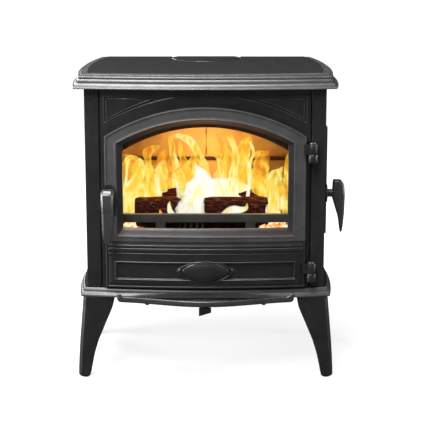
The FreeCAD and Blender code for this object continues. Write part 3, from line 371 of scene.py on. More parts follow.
def spline(points, samples):
    """Points along a Catmull-Rom curve through rows of numbers."""
    rows = np.array(points, float)
    rows = np.vstack([2 * rows[0] - rows[1], rows, 2 * rows[-1] - rows[-2]])
    spans = len(rows) - 3
    out = []
    for t in np.linspace(0, spans, samples):
        index = min(int(t), spans - 1)
        u = t - index
        a, b, c, d = rows[index:index + 4]
        out.append(0.5 * (2 * b + (c - a) * u + (2 * a - 5 * b + 4 * c - d) * u * u
                          + (3 * b - a - 3 * c + d) * u ** 3))
    return np.array(out)


def grid_faces(rows, columns, wrap=False):
    """Quads between rows of points; wrap closes each row on itself."""
    last = columns if wrap else columns - 1
    return [(r * columns + c, r * columns + (c + 1) % columns, (r + 1) * columns + (c + 1) % columns,
             (r + 1) * columns + c) for r in range(rows - 1) for c in range(last)]


# ---------------------------------------------------------------- castings

PLAN_HALF, SIDE_RADIUS, SIDE_MIDDLE = 298.7, 1016, -43
PLAN_FRONT, FRONT_RADIUS, PLAN_BACK = -202.5, 1900, edge("top_plate", 1, "y")
COVER_MIDDLE, COVER_RADIUS, COVER_CORNER = 161, edge("flue_cover", 1, "x"), 74
SEAT_RADIUS, SEAT_DEPTH, TOP_LEVEL = 90, 4, 741.2
LIP_HALF, LIP_LOW, LIP_HIGH = edge("ash_lip", 1, "x"), edge("ash_lip", 0, "z"), edge("ash_lip", 1, "z")
RELIEF_TOP, RELIEF_FRONT, RELIEF_PLAY = 216.7, -206, 0.4


def plan_sides(offset, steps=48):
    """Front, right, back and left runs of the plan outline, grown by an offset."""
    front_radius, side_radius = FRONT_RADIUS + offset, SIDE_RADIUS + offset
    front_centre = np.array([0, PLAN_FRONT + FRONT_RADIUS])
    side_centre = np.array([PLAN_HALF - SIDE_RADIUS, SIDE_MIDDLE])
    gap = side_centre - front_centre
    length = np.hypot(*gap)
    along = (length ** 2 + front_radius ** 2 - side_radius ** 2) / (2 * length)
    across = math.sqrt(front_radius ** 2 - along ** 2)
    unit = gap / length
    aside = np.array([-unit[1], unit[0]])
    crossings = [front_centre + unit * along + side * across * aside for side in (1, -1)]
    corner = min(crossings, key=lambda point: point[1])
    ends = sorted(set(np.linspace(-corner[0], corner[0], steps)) | {
        side * LIP_HALF + play for side in (-1, 1) for play in (-RELIEF_PLAY, RELIEF_PLAY)})
    front = [np.array([x, front_centre[1] - math.sqrt(front_radius ** 2 - x ** 2)]) for x in ends]
    start = math.asin((corner[1] - SIDE_MIDDLE) / side_radius)
    end = math.asin((PLAN_BACK - SIDE_MIDDLE) / side_radius)
    right = [side_centre + side_radius * np.array([math.cos(a), math.sin(a)])
             for a in np.linspace(start, end, steps)]
    left = [np.array([-point[0], point[1]]) for point in reversed(right)]
    return front, right, left


def moulded_plate(name, node, profile, top_outline=None, extra=(), relieved=False):
    """A cast plate: the plan outline swept through a moulding profile, with mitred corners.

    A top outline notches the back edge for the flue cover. A relieved plate steps back over the lip.
    """
    verts, faces = [], []
    rings = [(plan_sides(offset), height) for offset, height in profile]
    for sides, height in rings:
        if relieved and height < RELIEF_TOP:
            for point in sides[0]:
                if abs(point[0]) < LIP_HALF:
                    point[1] = max(point[1], RELIEF_FRONT)
    for run in range(3):
        columns = len(rings[0][0][run])
        base = len(verts)
        for sides, height in rings:
            verts += [(point[0], point[1], height) for point in sides[run]]
        faces += [tuple(base + index for index in face) for face in grid_faces(len(rings), columns)]
    moulded_faces = len(faces)
    back = len(verts)
    verts += [(*sides[1][-1], height) for sides, height in rings]
    if top_outline:
        (right, back_edge), (left, _) = top_outline[0], top_outline[-1]
        verts += [(across, back_edge, TOP_LEVEL - drop)
                  for across, drop in ((right, 0), (right, SEAT_DEPTH), (left, SEAT_DEPTH), (left, 0))]
    verts += [(*sides[2][0], height) for sides, height in reversed(rings)]
    faces.append(tuple(range(back, len(verts))))
    for level, outline in ((0, None), (-1, top_outline)):
        sides, height = rings[level]
        loop = [tuple(point) for run in sides for point in run]
        if outline:
            front, right_side, left_side = ([tuple(point) for point in run] for run in sides)
            loop = front + right_side + outline + left_side
        start = len(verts)
        verts += [(*point, height) for point in loop]
        cap = tuple(range(start, len(verts)))
        faces.append(cap if level else tuple(reversed(cap)))
    for more_verts, more_faces in extra:
        start = len(verts)
        verts += more_verts
        faces += [tuple(start + index for index in face) for face in more_faces]
    thing = piece(name, verts, faces, IRON, replaces=(node,))
    # the moulding rings take the lighter copy of the iron, a painted highlight
    thing.data.materials.append(IRON_PAINTED_HIGHLIGHT_MOULDING)
    for face in list(thing.data.polygons)[:moulded_faces]:
        face.material_index = 1
    crisp(thing)


def crisp(thing, degrees=38):
    """Smooth shading, but a sharp line wherever the surface turns by more than the angle."""
    thing.data.set_sharp_from_angle(angle=math.radians(degrees))


# mouldings from the underside to the top: (growth of the plan outline, height)
TOP_PROFILE = [
    (17.6, 707.0), (19.2, 707.1), (20.3, 707.8), (20.6, 708.9), (20.1, 710.3), (18.6, 711.4), (16.2, 711.8),
    (15.6, 712.3), (15.4, 713.2), (14.7, 715.4), (13.2, 717.7), (10.9, 719.5), (9.2, 720.3), (9.0, 721.2),
    (9.4, 722.4), (9.2, 724.4), (8.6, 726.4), (7.5, 728.1), (6.6, 728.9), (6.5, 729.8), (7.1, 730.8),
    (7.2, 732.8), (7.0, 734.2), (6.2, 735.3), (4.6, 735.9), (1.4, 736.2), (0.6, 736.8), (0.5, 738.0),
    (0.5, 738.9), (-0.1, 739.7), (-1.4, 740.0), (-13.8, 740.5), (-14.6, 740.9), (-15.6, 741.2),
]
BASE_PROFILE = [
    (6.0, 205.0), (9.5, 205.2), (10.9, 205.9), (11.4, 207.2), (11.3, 208.8), (10.6, 210.2), (7.4, 215.8),
    (6.6, 216.6), (5.6, 217.0), (5.2, 217.8), (5.4, 219.0), (5.0, 220.4), (3.0, 224.4), (2.2, 225.5),
    (1.0, 226.0),
]


def cover_arc(radius, depth_limit, steps=72):
    """The front of a circle about the flue cover's middle, from right to left, up to a depth."""
    angle = math.acos((COVER_MIDDLE - depth_limit) / radius)
    return [(radius * math.sin(a), COVER_MIDDLE - radius * math.cos(a))
            for a in np.linspace(angle, -angle, steps)]


def top_casting():
    """The top plate with its stepped moulding and the seat of the flue cover."""
    arc = cover_arc(SEAT_RADIUS, PLAN_BACK - 16)
    outline = [(SEAT_RADIUS, PLAN_BACK)] + arc + [(-SEAT_RADIUS, PLAN_BACK)]
    wall_top = [(x, y, TOP_LEVEL) for x, y in outline]
    wall_low = [(x, y, TOP_LEVEL - SEAT_DEPTH) for x, y in outline]
    count = len(outline)
    wall = (wall_top + wall_low, grid_faces(2, count))
    seat = (wall_low, [tuple(range(count))])
    moulded_plate("top_casting", "top_plate", TOP_PROFILE, outline, (wall, seat))


def flue_cover():
    """The loose cover over the top flue outlet: a chamfered disc, cut straight at the back."""
    def outline(inset):
        back = PLAN_BACK - 0.8 - inset
        arc = cover_arc(COVER_RADIUS - inset, PLAN_BACK - 27)
        return [(COVER_CORNER - inset, back)] + arc + [(inset - COVER_CORNER, back)]

    loops = [(0, TOP_LEVEL - 3.8), (0, 741.0), (0.4, 741.7), (1.2, 742.0)]
    verts = [(x, y, height) for inset, height in loops for x, y in outline(inset)]
    count = len(outline(0))
    faces = grid_faces(len(loops), count, wrap=True)
    faces += [tuple(range(len(verts) - count, len(verts))), tuple(reversed(range(count)))]
    crisp(piece("flue_cover_plate", verts, faces, IRON, "flue_cover",
                replaces=("flue_cover",)))


LIP_SHOULDER_WIDTH, LIP_SHOULDER_RISE, LIP_SHOULDER_TUCK = 15, 9, 6


def lip_section(back, front, rise, tuck):
    """The cut through the ash lip: floor of the tray, curled rim, underside."""
    return [
        (back + 22, LIP_LOW + 8.8), (back + 14, LIP_LOW + 8.8), (back + 12, LIP_LOW + 5),
        (front + 5.5, LIP_LOW + 5 + rise), (front + 4.6, LIP_HIGH - 1 + rise),
        (front + 3.6, LIP_HIGH + rise), (front + 2.2, LIP_HIGH + rise),
        (front + 0.8, LIP_HIGH - 0.8 + rise), (front, LIP_HIGH - 3 + rise),
        (front + 0.4, LIP_LOW + 7 + rise * 0.7), (front, LIP_LOW + 3 + rise * 0.3),
        (front + 0.8, LIP_LOW + 1 + tuck), (front + 2.4, LIP_LOW + tuck), (back + 22, LIP_LOW)]


def ash_lip():
    """The ash lip: a shallow tray swelling to the front, its rim curling up into a shoulder at each end."""
    columns = set(np.linspace(-LIP_HALF, LIP_HALF, 97))
    columns |= {side * (LIP_HALF - inset) for side in (-1, 1) for inset in (1, 2.5, 4.5)}
    verts = []
    for x in sorted(columns):
        back = PLAN_FRONT + FRONT_RADIUS - math.sqrt((FRONT_RADIUS + 11.6) ** 2 - x ** 2)
        swell = 32 * (1 + math.cos(math.pi * x / LIP_HALF)) / 2
        near_end = max(0.0, 1 - (LIP_HALF - abs(x)) / LIP_SHOULDER_WIDTH)
        rise = LIP_SHOULDER_RISE * min(1.0, near_end * 1.6) ** 1.3
        tuck = LIP_SHOULDER_TUCK * near_end ** 5
        section = lip_section(back, back - 9 - swell + tuck, rise, tuck)
        verts += [(x, y, z) for y, z in section]
    count = len(section)
    faces = [tuple(reversed(face)) for face in grid_faces(len(columns), count, wrap=True)]
    faces += [tuple(range(count)), tuple(reversed(range(len(verts) - count, len(verts))))]
    # the whole lip is in the lighter iron: painted highlight
    crisp(piece("ash_lip_casting", verts, faces, IRON_PAINTED_HIGHLIGHT_EDGE, replaces=("ash_lip",)), 50)


LEVER = [
    # height above the shaft, back, front, half width
    (32, 223.5, 240.2, 10.6), (31.6, 223.4, 241.4, 12.4), (30, 223.2, 243.4, 13.9), (22, 222.6, 249, 14.7),
    (19, 222.4, 249.8, 14.7), (-5, 220.8, 251.4, 14.0), (-10, 220.8, 251.3, 13.9), (-45, 231.3, 250.5, 13.0),
    (-60, 236, 249.5, 12.5), (-75, 238.2, 248, 11.9), (-84, 239.4, 247, 10.8), (-91, 240.4, 246, 8.4),
    (-95.5, 241.4, 245, 5.0), (-97, 242.4, 244.1, 2.0),
]


LEVER_FRONT = 251.4
NECK_STATIONS, NECK_RADIUS, NECK_SIDES = (200, 206, 221, 226), 9.5, 28


def lever(name, node, body, to_frame):
    """A cast lever: eight-sided section, square at the top and thinning to a rounded tip."""
    verts = []
    for height, back, front, half in LEVER:
        chamfer = min(4.8, (front - back) * 0.3, half * 0.5)
        soft = 0.5 * chamfer
        section = [(-half + soft, back), (-half, back + soft), (-half, front - chamfer),
                   (-half + chamfer, front), (half - chamfer, front), (half, front - chamfer),
                   (half, back + soft), (half - soft, back)]
        verts += [to_frame(across, out, height) for across, out in section]
    faces = grid_faces(len(LEVER), 8, wrap=True)
    faces += [tuple(reversed(range(8))), tuple(range(len(verts) - 8, len(verts)))]
    neck = len(verts)
    for out in NECK_STATIONS:
        verts += [to_frame(NECK_RADIUS * math.cos(a), out, NECK_RADIUS * math.sin(a))
                  for a in np.linspace(0, 2 * math.pi, NECK_SIDES, endpoint=False)]
    faces += [tuple(neck + index for index in face)
              for face in grid_faces(len(NECK_STATIONS), NECK_SIDES, wrap=True)]
    # the lever is in the lighter iron: painted highlight
    thing = piece(name, verts, faces, IRON_PAINTED_HIGHLIGHT_EDGE, body, replaces=(node,))
    bm = bmesh.new()
    bm.from_mesh(thing.data)
    bmesh.ops.recalc_face_normals(bm, faces=bm.faces)
    bm.to_mesh(thing.data)
    bm.free()
    bevel = thing.modifiers.new("round_edges", "BEVEL")
    bevel.width = 0.0009
    bevel.segments = 3
    bevel.limit_method = "ANGLE"
    bevel.angle_limit = math.radians(25)
    crisp(thing, 40)


# section of a fine cast line: (offset across it, height above the face)
BEAD = [(-1.6, 0.1), (-0.9, 0.75), (0.0, 1.0), (0.9, 0.75), (1.6, 0.1)]


def bead(name, path, radius):
    """A fine rounded line cast on the bowed front plate, following a closed path."""
    points = [np.array(point, float) for point in path]
    count = len(points)
    rows = []
    for offset, lift in BEAD:
        row = []
        for index, point in enumerate(points):
            before = point - points[index - 1]
            after = points[(index + 1) % count] - point
            normal_in = np.array((before[1], -before[0])) / np.linalg.norm(before)
            normal_out = np.array((after[1], -after[0])) / np.linalg.norm(after)
            outward = normal_in + normal_out
            outward /= max(0.5, float(np.dot(outward, outward)) / 2)
            x, z = point + outward * offset
            row.append(on_bow(x, z, lift, radius))
        rows.append(row)
    verts = [vert for row in rows for vert in row]
    # the cast line is in the lighter iron: painted highlight
    piece(name, verts, grid_faces(len(rows), count, wrap=True), IRON_PAINTED_HIGHLIGHT_EDGE)


# panel lines above the arch: low, high, inner and outer end, radius of the curved side
PLATE_RADIUS = 1797
SPANDREL_LINES = ((624, 688, 71, 238, 458.7), (633, 683, 125, 232, 464.7))


def spandrel_path(low, high, inner, outer, radius):
    """A triangle with two straight sides and one that follows the arch of the door."""
    tip = high - 1.0
    chord = np.array((outer - inner, low - tip))
    length = float(np.hypot(*chord))
    halfway = np.array(((outer + inner) / 2, (low + tip) / 2))
    across = np.array((chord[1], -chord[0])) / length
    centre = halfway + across * math.sqrt(radius ** 2 - length ** 2 / 4)
    start = math.atan2(tip - centre[1], inner - centre[0])
    stop = math.atan2(low - centre[1], outer - centre[0])
    arc = [(centre[0] + radius * math.cos(a), centre[1] + radius * math.sin(a))
           for a in np.linspace(start, stop, 30)]
    return [(outer, low), (outer, high), (inner, tip)] + arc[1:-1]


def spandrels():
    """Two fine lines round each corner panel above the arch."""
    for side, label in ((-1, "left"), (1, "right")):
        for index, line in enumerate(SPANDREL_LINES):
            path = [(side * x, z) for x, z in spandrel_path(*line)]
            bead("%s_spandrel_line_%d" % (label, index), path[::side], PLATE_RADIUS)


def levers():
    """The same lever on the front door and, turned a quarter, on the side door."""
    across, height = middle("front_handle_shaft", "x"), middle("front_handle_shaft", "z")
    lever("front_lever", "front_handle", "front_latch",
          lambda side, out, up: (across + side, -out, height + up))
    depth, level = middle("side_handle_shaft", "y"), middle("side_handle_shaft", "z")
    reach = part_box("side_handle")[1].x / MM - LEVER_FRONT
    lever("side_lever", "side_handle", "side_latch",
          lambda side, out, up: (out + reach, depth + side, level + up))


def lining_seams():
    """Dark joints between the lining plates: an upright seam, and a painted shadow under the ledge."""
    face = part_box("upper_back_lining_left")[0].y / MM
    low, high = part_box("lower_back_lining")[1].z / MM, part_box("upper_back_lining_left")[1].z / MM
    steps = 20
    rows = [(0.9 + 0.5 * math.sin(step * 0.9), low + (high - low) * step / steps)
            for step in range(steps + 1)]
    verts = [(side * half, face - 0.3, height) for half, height in rows for side in (-1, 1)]
    piece("lining_seam", verts, grid_faces(len(rows), 2), SOOT_AND_PAINTED_SHADE)
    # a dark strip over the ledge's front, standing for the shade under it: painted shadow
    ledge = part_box("lower_back_lining")
    front, top = ledge[0].y / MM, ledge[1].z / MM
    across = np.linspace(-213, 213, 41)
    rows = [(front - 0.3, top - 9), (front - 0.5, top - 7), (front - 0.5, top - 1), (front + 0.4, top + 0.3)]
    verts = [(x, y, z) for y, z in rows for x in across]
    piece("ledge_painted_shadow", verts, grid_faces(len(rows), len(across)), SOOT_AND_PAINTED_SHADE)


BOW_MIDDLE, DOOR_RADIUS = 1599, 1812
DOOR_HALF, DOOR_LOW = -edge("door_frame", 0, "x"), edge("door_frame", 0, "z")
DOOR_SHOULDER, DOOR_ARCH = 595, 432.7
FACE_SPLIT, FACE_LIFT = 345, 0.3
WINDOW_HALF, WINDOW_LOW, WINDOW_SHOULDER, WINDOW_ARCH = 196, 375, 575.7, 400
BEVEL_WIDTH, BEVEL_RINGS = 12.6, 6
PANEL_HALF, PANEL_LOW, PANEL_HIGH = 212, 252.5, 292
PANEL_MIDDLE = (PANEL_LOW + PANEL_HIGH) / 2
OVAL_HALF_WIDTH, OVAL_HALF_HEIGHT = 57, 22.5


def on_bow(across, height, lift, radius=DOOR_RADIUS):
    """A point of the door's bowed front, raised by a lift."""
    return across, BOW_MIDDLE - math.sqrt((radius + lift) ** 2 - across ** 2), height


def arch_loop(half, low, shoulder, radius, steps=44):
    """An arched outline as points: bottom, right side, arch and left side, anticlockwise."""
    centre = shoulder - math.sqrt(radius ** 2 - half ** 2)
    angle = math.asin(half / radius)
    bottom = [(x, low) for x in np.linspace(-half, half, steps, endpoint=False)]
    right = [(half, z) for z in np.linspace(low, shoulder, steps, endpoint=False)]
    arch = [(radius * math.sin(a), centre + radius * math.cos(a))
            for a in np.linspace(angle, -angle, steps, endpoint=False)]
    left = [(-half, z) for z in np.linspace(shoulder, low, steps, endpoint=False)]
    return bottom + right + arch + left


# the rounded rim of the door: (distance from its edge, height above the face)
RIM = [(0.2, -0.6), (0.5, 0.5), (1.0, 1.2), (1.8, 1.5), (3.6, 1.5), (4.4, 1.2), (5.0, 0.6), (5.8, 0.3)]


RIM_WIDTH = RIM[-1][0]


def rim_lift(inset):
    return float(np.interp(inset, *zip(*RIM)))


def window_loop(grow):
    """The window outline, grown outward; the sill grows more than the arch."""
    return arch_loop(WINDOW_HALF + grow, WINDOW_LOW - 1.29 * grow, WINDOW_SHOULDER + 0.25 * grow,
                     WINDOW_ARCH + 0.75 * grow)


def door_loops():
    """Outlines of the arched face from its rim inward, each with its height above the face."""
    loops = [(arch_loop(DOOR_HALF - inset, FACE_SPLIT, DOOR_SHOULDER - 0.45 * inset, DOOR_ARCH - inset), lift)
             for inset, lift in RIM]
    outer, inner = loops[-1][0], arch_loop(214.5, 353.6, 580.2, 414)
    for share in (0.25, 0.5, 0.75, 1.0):
        loops.append(([(o[0] + (i[0] - o[0]) * share, o[1] + (i[1] - o[1]) * share)
                       for o, i in zip(outer, inner)], FACE_LIFT))
    for grow, lift in ((16.6, 1.0), (15.6, 1.35), (14.4, 1.3), (13.5, 0.8), (BEVEL_WIDTH, 0.2)):
        loops.append((window_loop(grow), lift))
    for share in (0.33, 0.66, 1.0):
        loops.append((window_loop(BEVEL_WIDTH * (1 - share) + 0.3), 0.2 - 5.5 * share))
    throat = arch_loop(195.2, 375.8, 575.3, 399.2)
    return loops + [(throat, -6.2), (throat, -12.9)]


def door_face():
    """The arched part of the door: rounded rim, flat band, beaded edge and the bevel down to the glass."""
    loops = door_loops()
    count = len(loops[0][0])
    verts = []
    for index, (loop, lift) in enumerate(loops):
        for x, z in loop:
            level = lift
            if index < len(RIM) and z < FACE_SPLIT + 0.01:
                inset = DOOR_HALF - abs(x)
                level = rim_lift(inset) if inset < RIM_WIDTH else FACE_LIFT
            verts.append(on_bow(x, z, level))
    faces = [tuple(reversed(face)) for face in grid_faces(len(loops), count, wrap=True)]
    # the arched face is in the band iron, lighter for a painted sheen
    thing = piece("door_arch_face", verts, faces, IRON_PAINTED_SHEEN_BAND, "front_door")
    thing.data.materials.append(IRON_PAINTED_FIRELIGHT)
    # the bevel rings take the iron with painted firelight
    first_bevel = (len(loops) - BEVEL_RINGS) * count
    for face in list(thing.data.polygons)[first_bevel:]:
        face.material_index = 1
    crisp(thing, 30)


# the ribs under the window, downward: (height, height above the face)
RIB_PROFILE = [
    (345, 0.3), (336.4, 0.3), (335.6, 0.9), (334.4, 1.35), (331, 1.5), (329.8, 1.3), (329.2, 0.3),
    (328.6, 0.3), (328.2, 1.6), (327.2, 2.3), (325, 2.5), (320.6, 2.5), (318.6, 2.2), (317.8, 1.4),
    (317.4, 0.3), (316.6, 0.3), (316.2, 1.0), (315.2, 1.5), (313.2, 1.5), (312.2, 1.3), (311.4, 1.25),
]
# the beaded edge of the recess, inward: (distance outside its edge, height above the face)
RECESS_STEPS = [(7.0, 1.25), (3.6, 1.25), (3.0, 1.9), (2.0, 2.3), (1.0, 2.1), (0.3, 1.2), (-0.6, -2.0),
                (-1.2, -2.7), (-2.0, -2.8)]


# the blank oval boss: distances inside its edge, and heights above the face there
BOSS_REACH = [-4.2, -3.2, -1.8, -0.9, 0.0, 0.7, 1.5, 3.5, 7, 12, 18, 22.5]
BOSS_LIFT = [-9, 0.9, 2.4, 2.2, 0.4, 1.2, 3.0, 4.4, 5.7, 6.5, 6.9, 7.0]
LAST_RIB = RIB_PROFILE[-1][0]
GROOVE_START, GROOVE_END = 7.2, 8.0


def lower_lift(x, z):
    """How far the lower door face stands out at a point."""
    side = DOOR_HALF - abs(x)
    if z > LAST_RIB:
        level = float(np.interp(-z, [-row[0] for row in RIB_PROFILE], [row[1] for row in RIB_PROFILE]))
        if side > 7.0:
            return level
        return rim_lift(side) if side < RIM_WIDTH else min(level, FACE_LIFT)
    rim = min(side, z - DOOR_LOW)
    if rim < RIM_WIDTH:
        return rim_lift(rim)
    if rim < GROOVE_END:
        return FACE_LIFT if rim < GROOVE_START else 0.9
    outside = max(abs(x) - PANEL_HALF, abs(z - PANEL_MIDDLE) - (PANEL_HIGH - PANEL_MIDDLE))
    level = float(np.interp(outside, *zip(*reversed(RECESS_STEPS))))
    oval = math.hypot(x / OVAL_HALF_WIDTH, (z - PANEL_MIDDLE) / OVAL_HALF_HEIGHT)
    if oval < 1.2:
        reach = (1 - oval) * OVAL_HALF_HEIGHT
        dome = float(np.interp(reach, BOSS_REACH, BOSS_LIFT))
        level = max(level, dome) if reach < -0.9 else dome
    return level


def lower_face():
    """The lower door panel: ribs under the window, a beaded recess and the blank oval boss."""
    across = set(np.linspace(-62, 62, 125)) | set(np.linspace(-205, 205, 83))
    for side in (-1, 1):
        across |= {side * (DOOR_HALF - row[0]) for row in RIM}
        across |= {side * (DOOR_HALF - GROOVE_START), side * (DOOR_HALF - GROOVE_END)}
        across |= {side * (PANEL_HALF + row[0]) for row in RECESS_STEPS}
    heights = {row[0] for row in RIB_PROFILE} | {DOOR_LOW + row[0] for row in RIM}
    heights |= {DOOR_LOW + GROOVE_START, DOOR_LOW + GROOVE_END}
    heights |= {PANEL_HIGH + row[0] for row in RECESS_STEPS} | {PANEL_LOW - row[0] for row in RECESS_STEPS}
    heights |= set(np.arange(246, 299, 1.0))
    columns, rows = sorted(across), sorted(heights)
    verts = [on_bow(x, z, lower_lift(x, z)) for z in rows for x in columns]
    thing = piece("door_lower_face", verts, grid_faces(len(rows), len(columns)), IRON, "front_door")
    crisp(thing, 50)


def castings():
    top_casting()
    flue_cover()
    moulded_plate("base_casting", "base_plate", BASE_PROFILE, relieved=True)
    ash_lip()
    door_face()
    lower_face()
    levers()
    spandrels()
    lining_seams()


castings()


# ---------------------------------------------------------------- fire

SIGHT_SLOPE = 0.2
WINDOW_DEPTH = -205
EYE_DISTANCE = 3166


def behind_glass(across, height, depth):
    """A point of the view through the window, carried back along the sight line to a depth."""
    reach = depth - WINDOW_DEPTH
    return across * (1 + reach / EYE_DISTANCE), depth, height - SIGHT_SLOPE * reach


def tongue(name, depth, heat, hollow, spine, samples=26, columns=11):
    """A flame: a curved ribbon along a spine of (across, height, half width)."""
    run = spline(spine, samples)
    verts, uvs = [], []
    for index, (across, height, half) in enumerate(run):
        before, after = run[max(index - 1, 0)], run[min(index + 1, samples - 1)]
        along = Vector((after[0] - before[0], after[1] - before[1])).normalized()
        for column in range(columns):
            u = 2 * column / (columns - 1) - 1
            x = across + along.y * half * u
            z = height - along.x * half * u
            bulge = 10 * (1 - u * u) * (max(half, 0) / 25)
            verts.append(behind_glass(x, z, depth - bulge))
            uvs.append((column / (columns - 1), index / (samples - 1)))
    piece(name, verts, grid_faces(samples, columns), flame(heat, hollow), uvs=uvs)


FLAMES = [
    # name, depth, heat, hollow, then the spine: (across, height, half width)
    ("flame_bed_left", 80, 0.62, 0.75,
     [(-110, 400, 96), (-112, 450, 92), (-108, 490, 74), (-100, 520, 40), (-96, 540, 8)]),
    ("flame_bed_right", 80, 0.72, 0.55,
     [(80, 400, 110), (80, 450, 104), (72, 484, 80), (62, 505, 44), (56, 520, 8)]),
    ("flame_bed_glow", -24, 1.15, 0.0,
     [(40, 436, 50), (44, 456, 54), (52, 474, 40), (66, 486, 18), (78, 492, 4)]),
    ("flame_back_left", 60, 0.62, 0.5,
     [(-150, 420, 46), (-150, 470, 50), (-160, 520, 34), (-182, 548, 14), (-198, 556, 4)]),
    ("flame_back_mid", 60, 0.78, 0.3,
     [(-45, 420, 70), (-40, 470, 66), (-32, 510, 40), (-30, 545, 14), (-32, 560, 3)]),
    ("flame_back_right", 60, 0.6, 0.4,
     [(70, 420, 60), (72, 470, 56), (70, 520, 40), (80, 560, 22), (84, 590, 4)]),
    ("flame_far_left", 20, 0.9, 0.45,
     [(-183, 400, 20), (-180, 450, 24), (-164, 490, 16), (-150, 525, 11), (-156, 550, 3)]),
    ("flame_left_edge", 24, 0.85, 0.7,
     [(-194, 400, 10), (-193, 470, 8), (-190, 530, 9), (-176, 552, 7), (-150, 545, 3)]),
    ("flame_fork_left", 0, 0.72, 0.55,
     [(-124, 446, 13), (-127, 500, 11), (-134, 540, 8), (-134, 566, 13), (-104, 582, 3)]),
    ("flame_fork_tip", 4, 0.6, 0.5,
     [(-134, 548, 6), (-138, 566, 8), (-146, 574, 3)]),
    ("flame_left_glow", 10, 0.95, 0.2,
     [(-104, 452, 14), (-106, 490, 16), (-104, 525, 15), (-98, 545, 4)]),
    ("flame_left_gold", 28, 0.5, 0.3,
     [(-92, 452, 26), (-96, 500, 16), (-98, 545, 18), (-86, 575, 5)]),
    ("flame_loop_left", -4, 0.82, 0.55,
     [(-50, 436, 22), (-64, 510, 12), (-76, 556, 8), (-82, 590, 8), (-86, 606, 3)]),
    ("flame_loop_top", -8, 0.86, 0.5,
     [(-84, 602, 4), (-62, 606, 7), (-36, 592, 11), (-20, 562, 10), (-6, 528, 14), (-2, 490, 22)]),
    ("flame_loop_inner", 0, 0.66, 0.6,
     [(-34, 470, 20), (-46, 520, 12), (-58, 562, 7), (-62, 596, 4)]),
    ("flame_core", -20, 1.7, 0.0,
     [(-14, 430, 34), (-12, 455, 46), (-10, 480, 40), (-12, 505, 22), (-20, 525, 7), (-24, 538, 2)]),
    ("flame_core_low", -128, 1.2, 0.1,
     [(-38, 400, 40), (-34, 425, 34), (-24, 446, 24), (-16, 470, 12), (-14, 485, 3)]),
    ("flame_centre_rise", -12, 0.8, 0.5,
     [(24, 446, 20), (26, 490, 15), (34, 525, 8), (28, 550, 5), (12, 560, 2)]),
    ("flame_right_tall_a", -6, 0.66, 0.45,
     [(44, 452, 22), (54, 500, 20), (50, 545, 18), (38, 582, 10), (28, 612, 5)]),
    ("flame_right_tall_b", -14, 0.8, 0.5,
     [(58, 470, 14), (66, 520, 10), (70, 565, 8), (60, 595, 8), (52, 612, 4)]),
    ("flame_right_tall_c", 6, 0.7, 0.35,
     [(84, 480, 18), (82, 530, 22), (88, 570, 18), (98, 598, 10), (88, 612, 3)]),
    ("flame_streak", -30, 0.95, 0.0,
     [(96, 436, 6), (103, 490, 4), (102, 530, 4.5), (112, 560, 4), (106, 582, 3.5), (90, 600, 2)]),
    ("flame_right_sheet", 14, 0.62, 0.3,
     [(130, 448, 22), (126, 500, 20), (130, 535, 20), (146, 556, 6)]),
    ("flame_right_wisp", 30, 0.55, 0.2,
     [(112, 550, 4), (124, 562, 8), (138, 562, 7), (150, 568, 2)]),
    ("flame_right_mass", -10, 0.88, 0.4,
     [(164, 410, 30), (162, 460, 32), (164, 500, 22), (176, 520, 6), (180, 528, 2)]),
    ("flame_right_edge", -16, 0.8, 0.5,
     [(188, 380, 12), (190, 440, 12), (190, 500, 8), (191, 545, 5), (194, 562, 2)]),
    ("flame_front_right", -134, 0.95, 0.55,
     [(160, 395, 18), (158, 425, 16), (164, 450, 9), (168, 470, 3)]),
    ("flame_front_small_a", -134, 1.1, 0.1,
     [(-78, 398, 13), (-84, 418, 7), (-86, 432, 4), (-84, 442, 1)]),
    ("flame_front_small_b", -134, 0.75, 0.1,
     [(-104, 398, 8), (-106, 412, 4), (-108, 422, 1)]),
    ("flame_front_curl", -134, 1.15, 0.1,
     [(52, 400, 22), (64, 418, 13), (84, 420, 9), (96, 426, 5), (98, 437, 1)]),
    ("flame_base_glow", 30, 1.0, 0.0,
     [(60, 430, 60), (70, 462, 58), (74, 486, 30), (80, 500, 6)]),
    ("flame_base_left", 30, 0.85, 0.1,
     [(-150, 420, 40), (-145, 455, 40), (-140, 480, 24), (-140, 495, 6)]),
]


LOG_RADIUS, LOG_END_SHARE = 39.5, 0.93


def barked_log(name, node, seed):
    """A split of firewood along its CAD billet: furrowed bark round a charred core."""
    points = np.array([vert.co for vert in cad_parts[node].data.vertices]) / MM
    centre = points.mean(0)
    direction = np.linalg.svd(points - centre)[2][0]
    along = (points - centre) @ direction
    start, end = centre + direction * (along.min() + 1), centre + direction * (along.max() - 1)
    axis = Vector(direction)
    side = axis.cross(Vector((0, 0, 1))).normalized()
    up = side.cross(axis).normalized()
    rings, around = 60, 64
    verts, uvs = [], []
    for ring in range(rings):
        t = ring / (rings - 1)
        heart = Vector(start) * (1 - t) + Vector(end) * t
        for step in range(around):
            angle = 2 * math.pi * step / around
            spot = Vector((math.cos(angle) * 2.2, math.sin(angle) * 2.2, t * 3 + seed * 7))
            furrow = field.noise(Vector((spot.x * 3.2, spot.y * 3.2, spot.z * 0.8)))
            knots = field.noise(spot * 0.7)
            radius = LOG_RADIUS + 1.8 * furrow + 1.2 * knots
            radius *= LOG_END_SHARE + (1 - LOG_END_SHARE) * min(1.0, 10 * min(t, 1 - t))
            offset = side * math.cos(angle) * radius + up * math.sin(angle) * radius
            verts.append(tuple(heart + offset))
            uvs.append((step / around, t))
    faces = grid_faces(rings, around, wrap=True)
    faces.append(tuple(reversed(range(around))))
    faces.append(tuple(range((rings - 1) * around, rings * around)))
    piece(name, verts, faces, BARK, replaces=(node,), uvs=uvs)


LUMP_CORNERS = 16


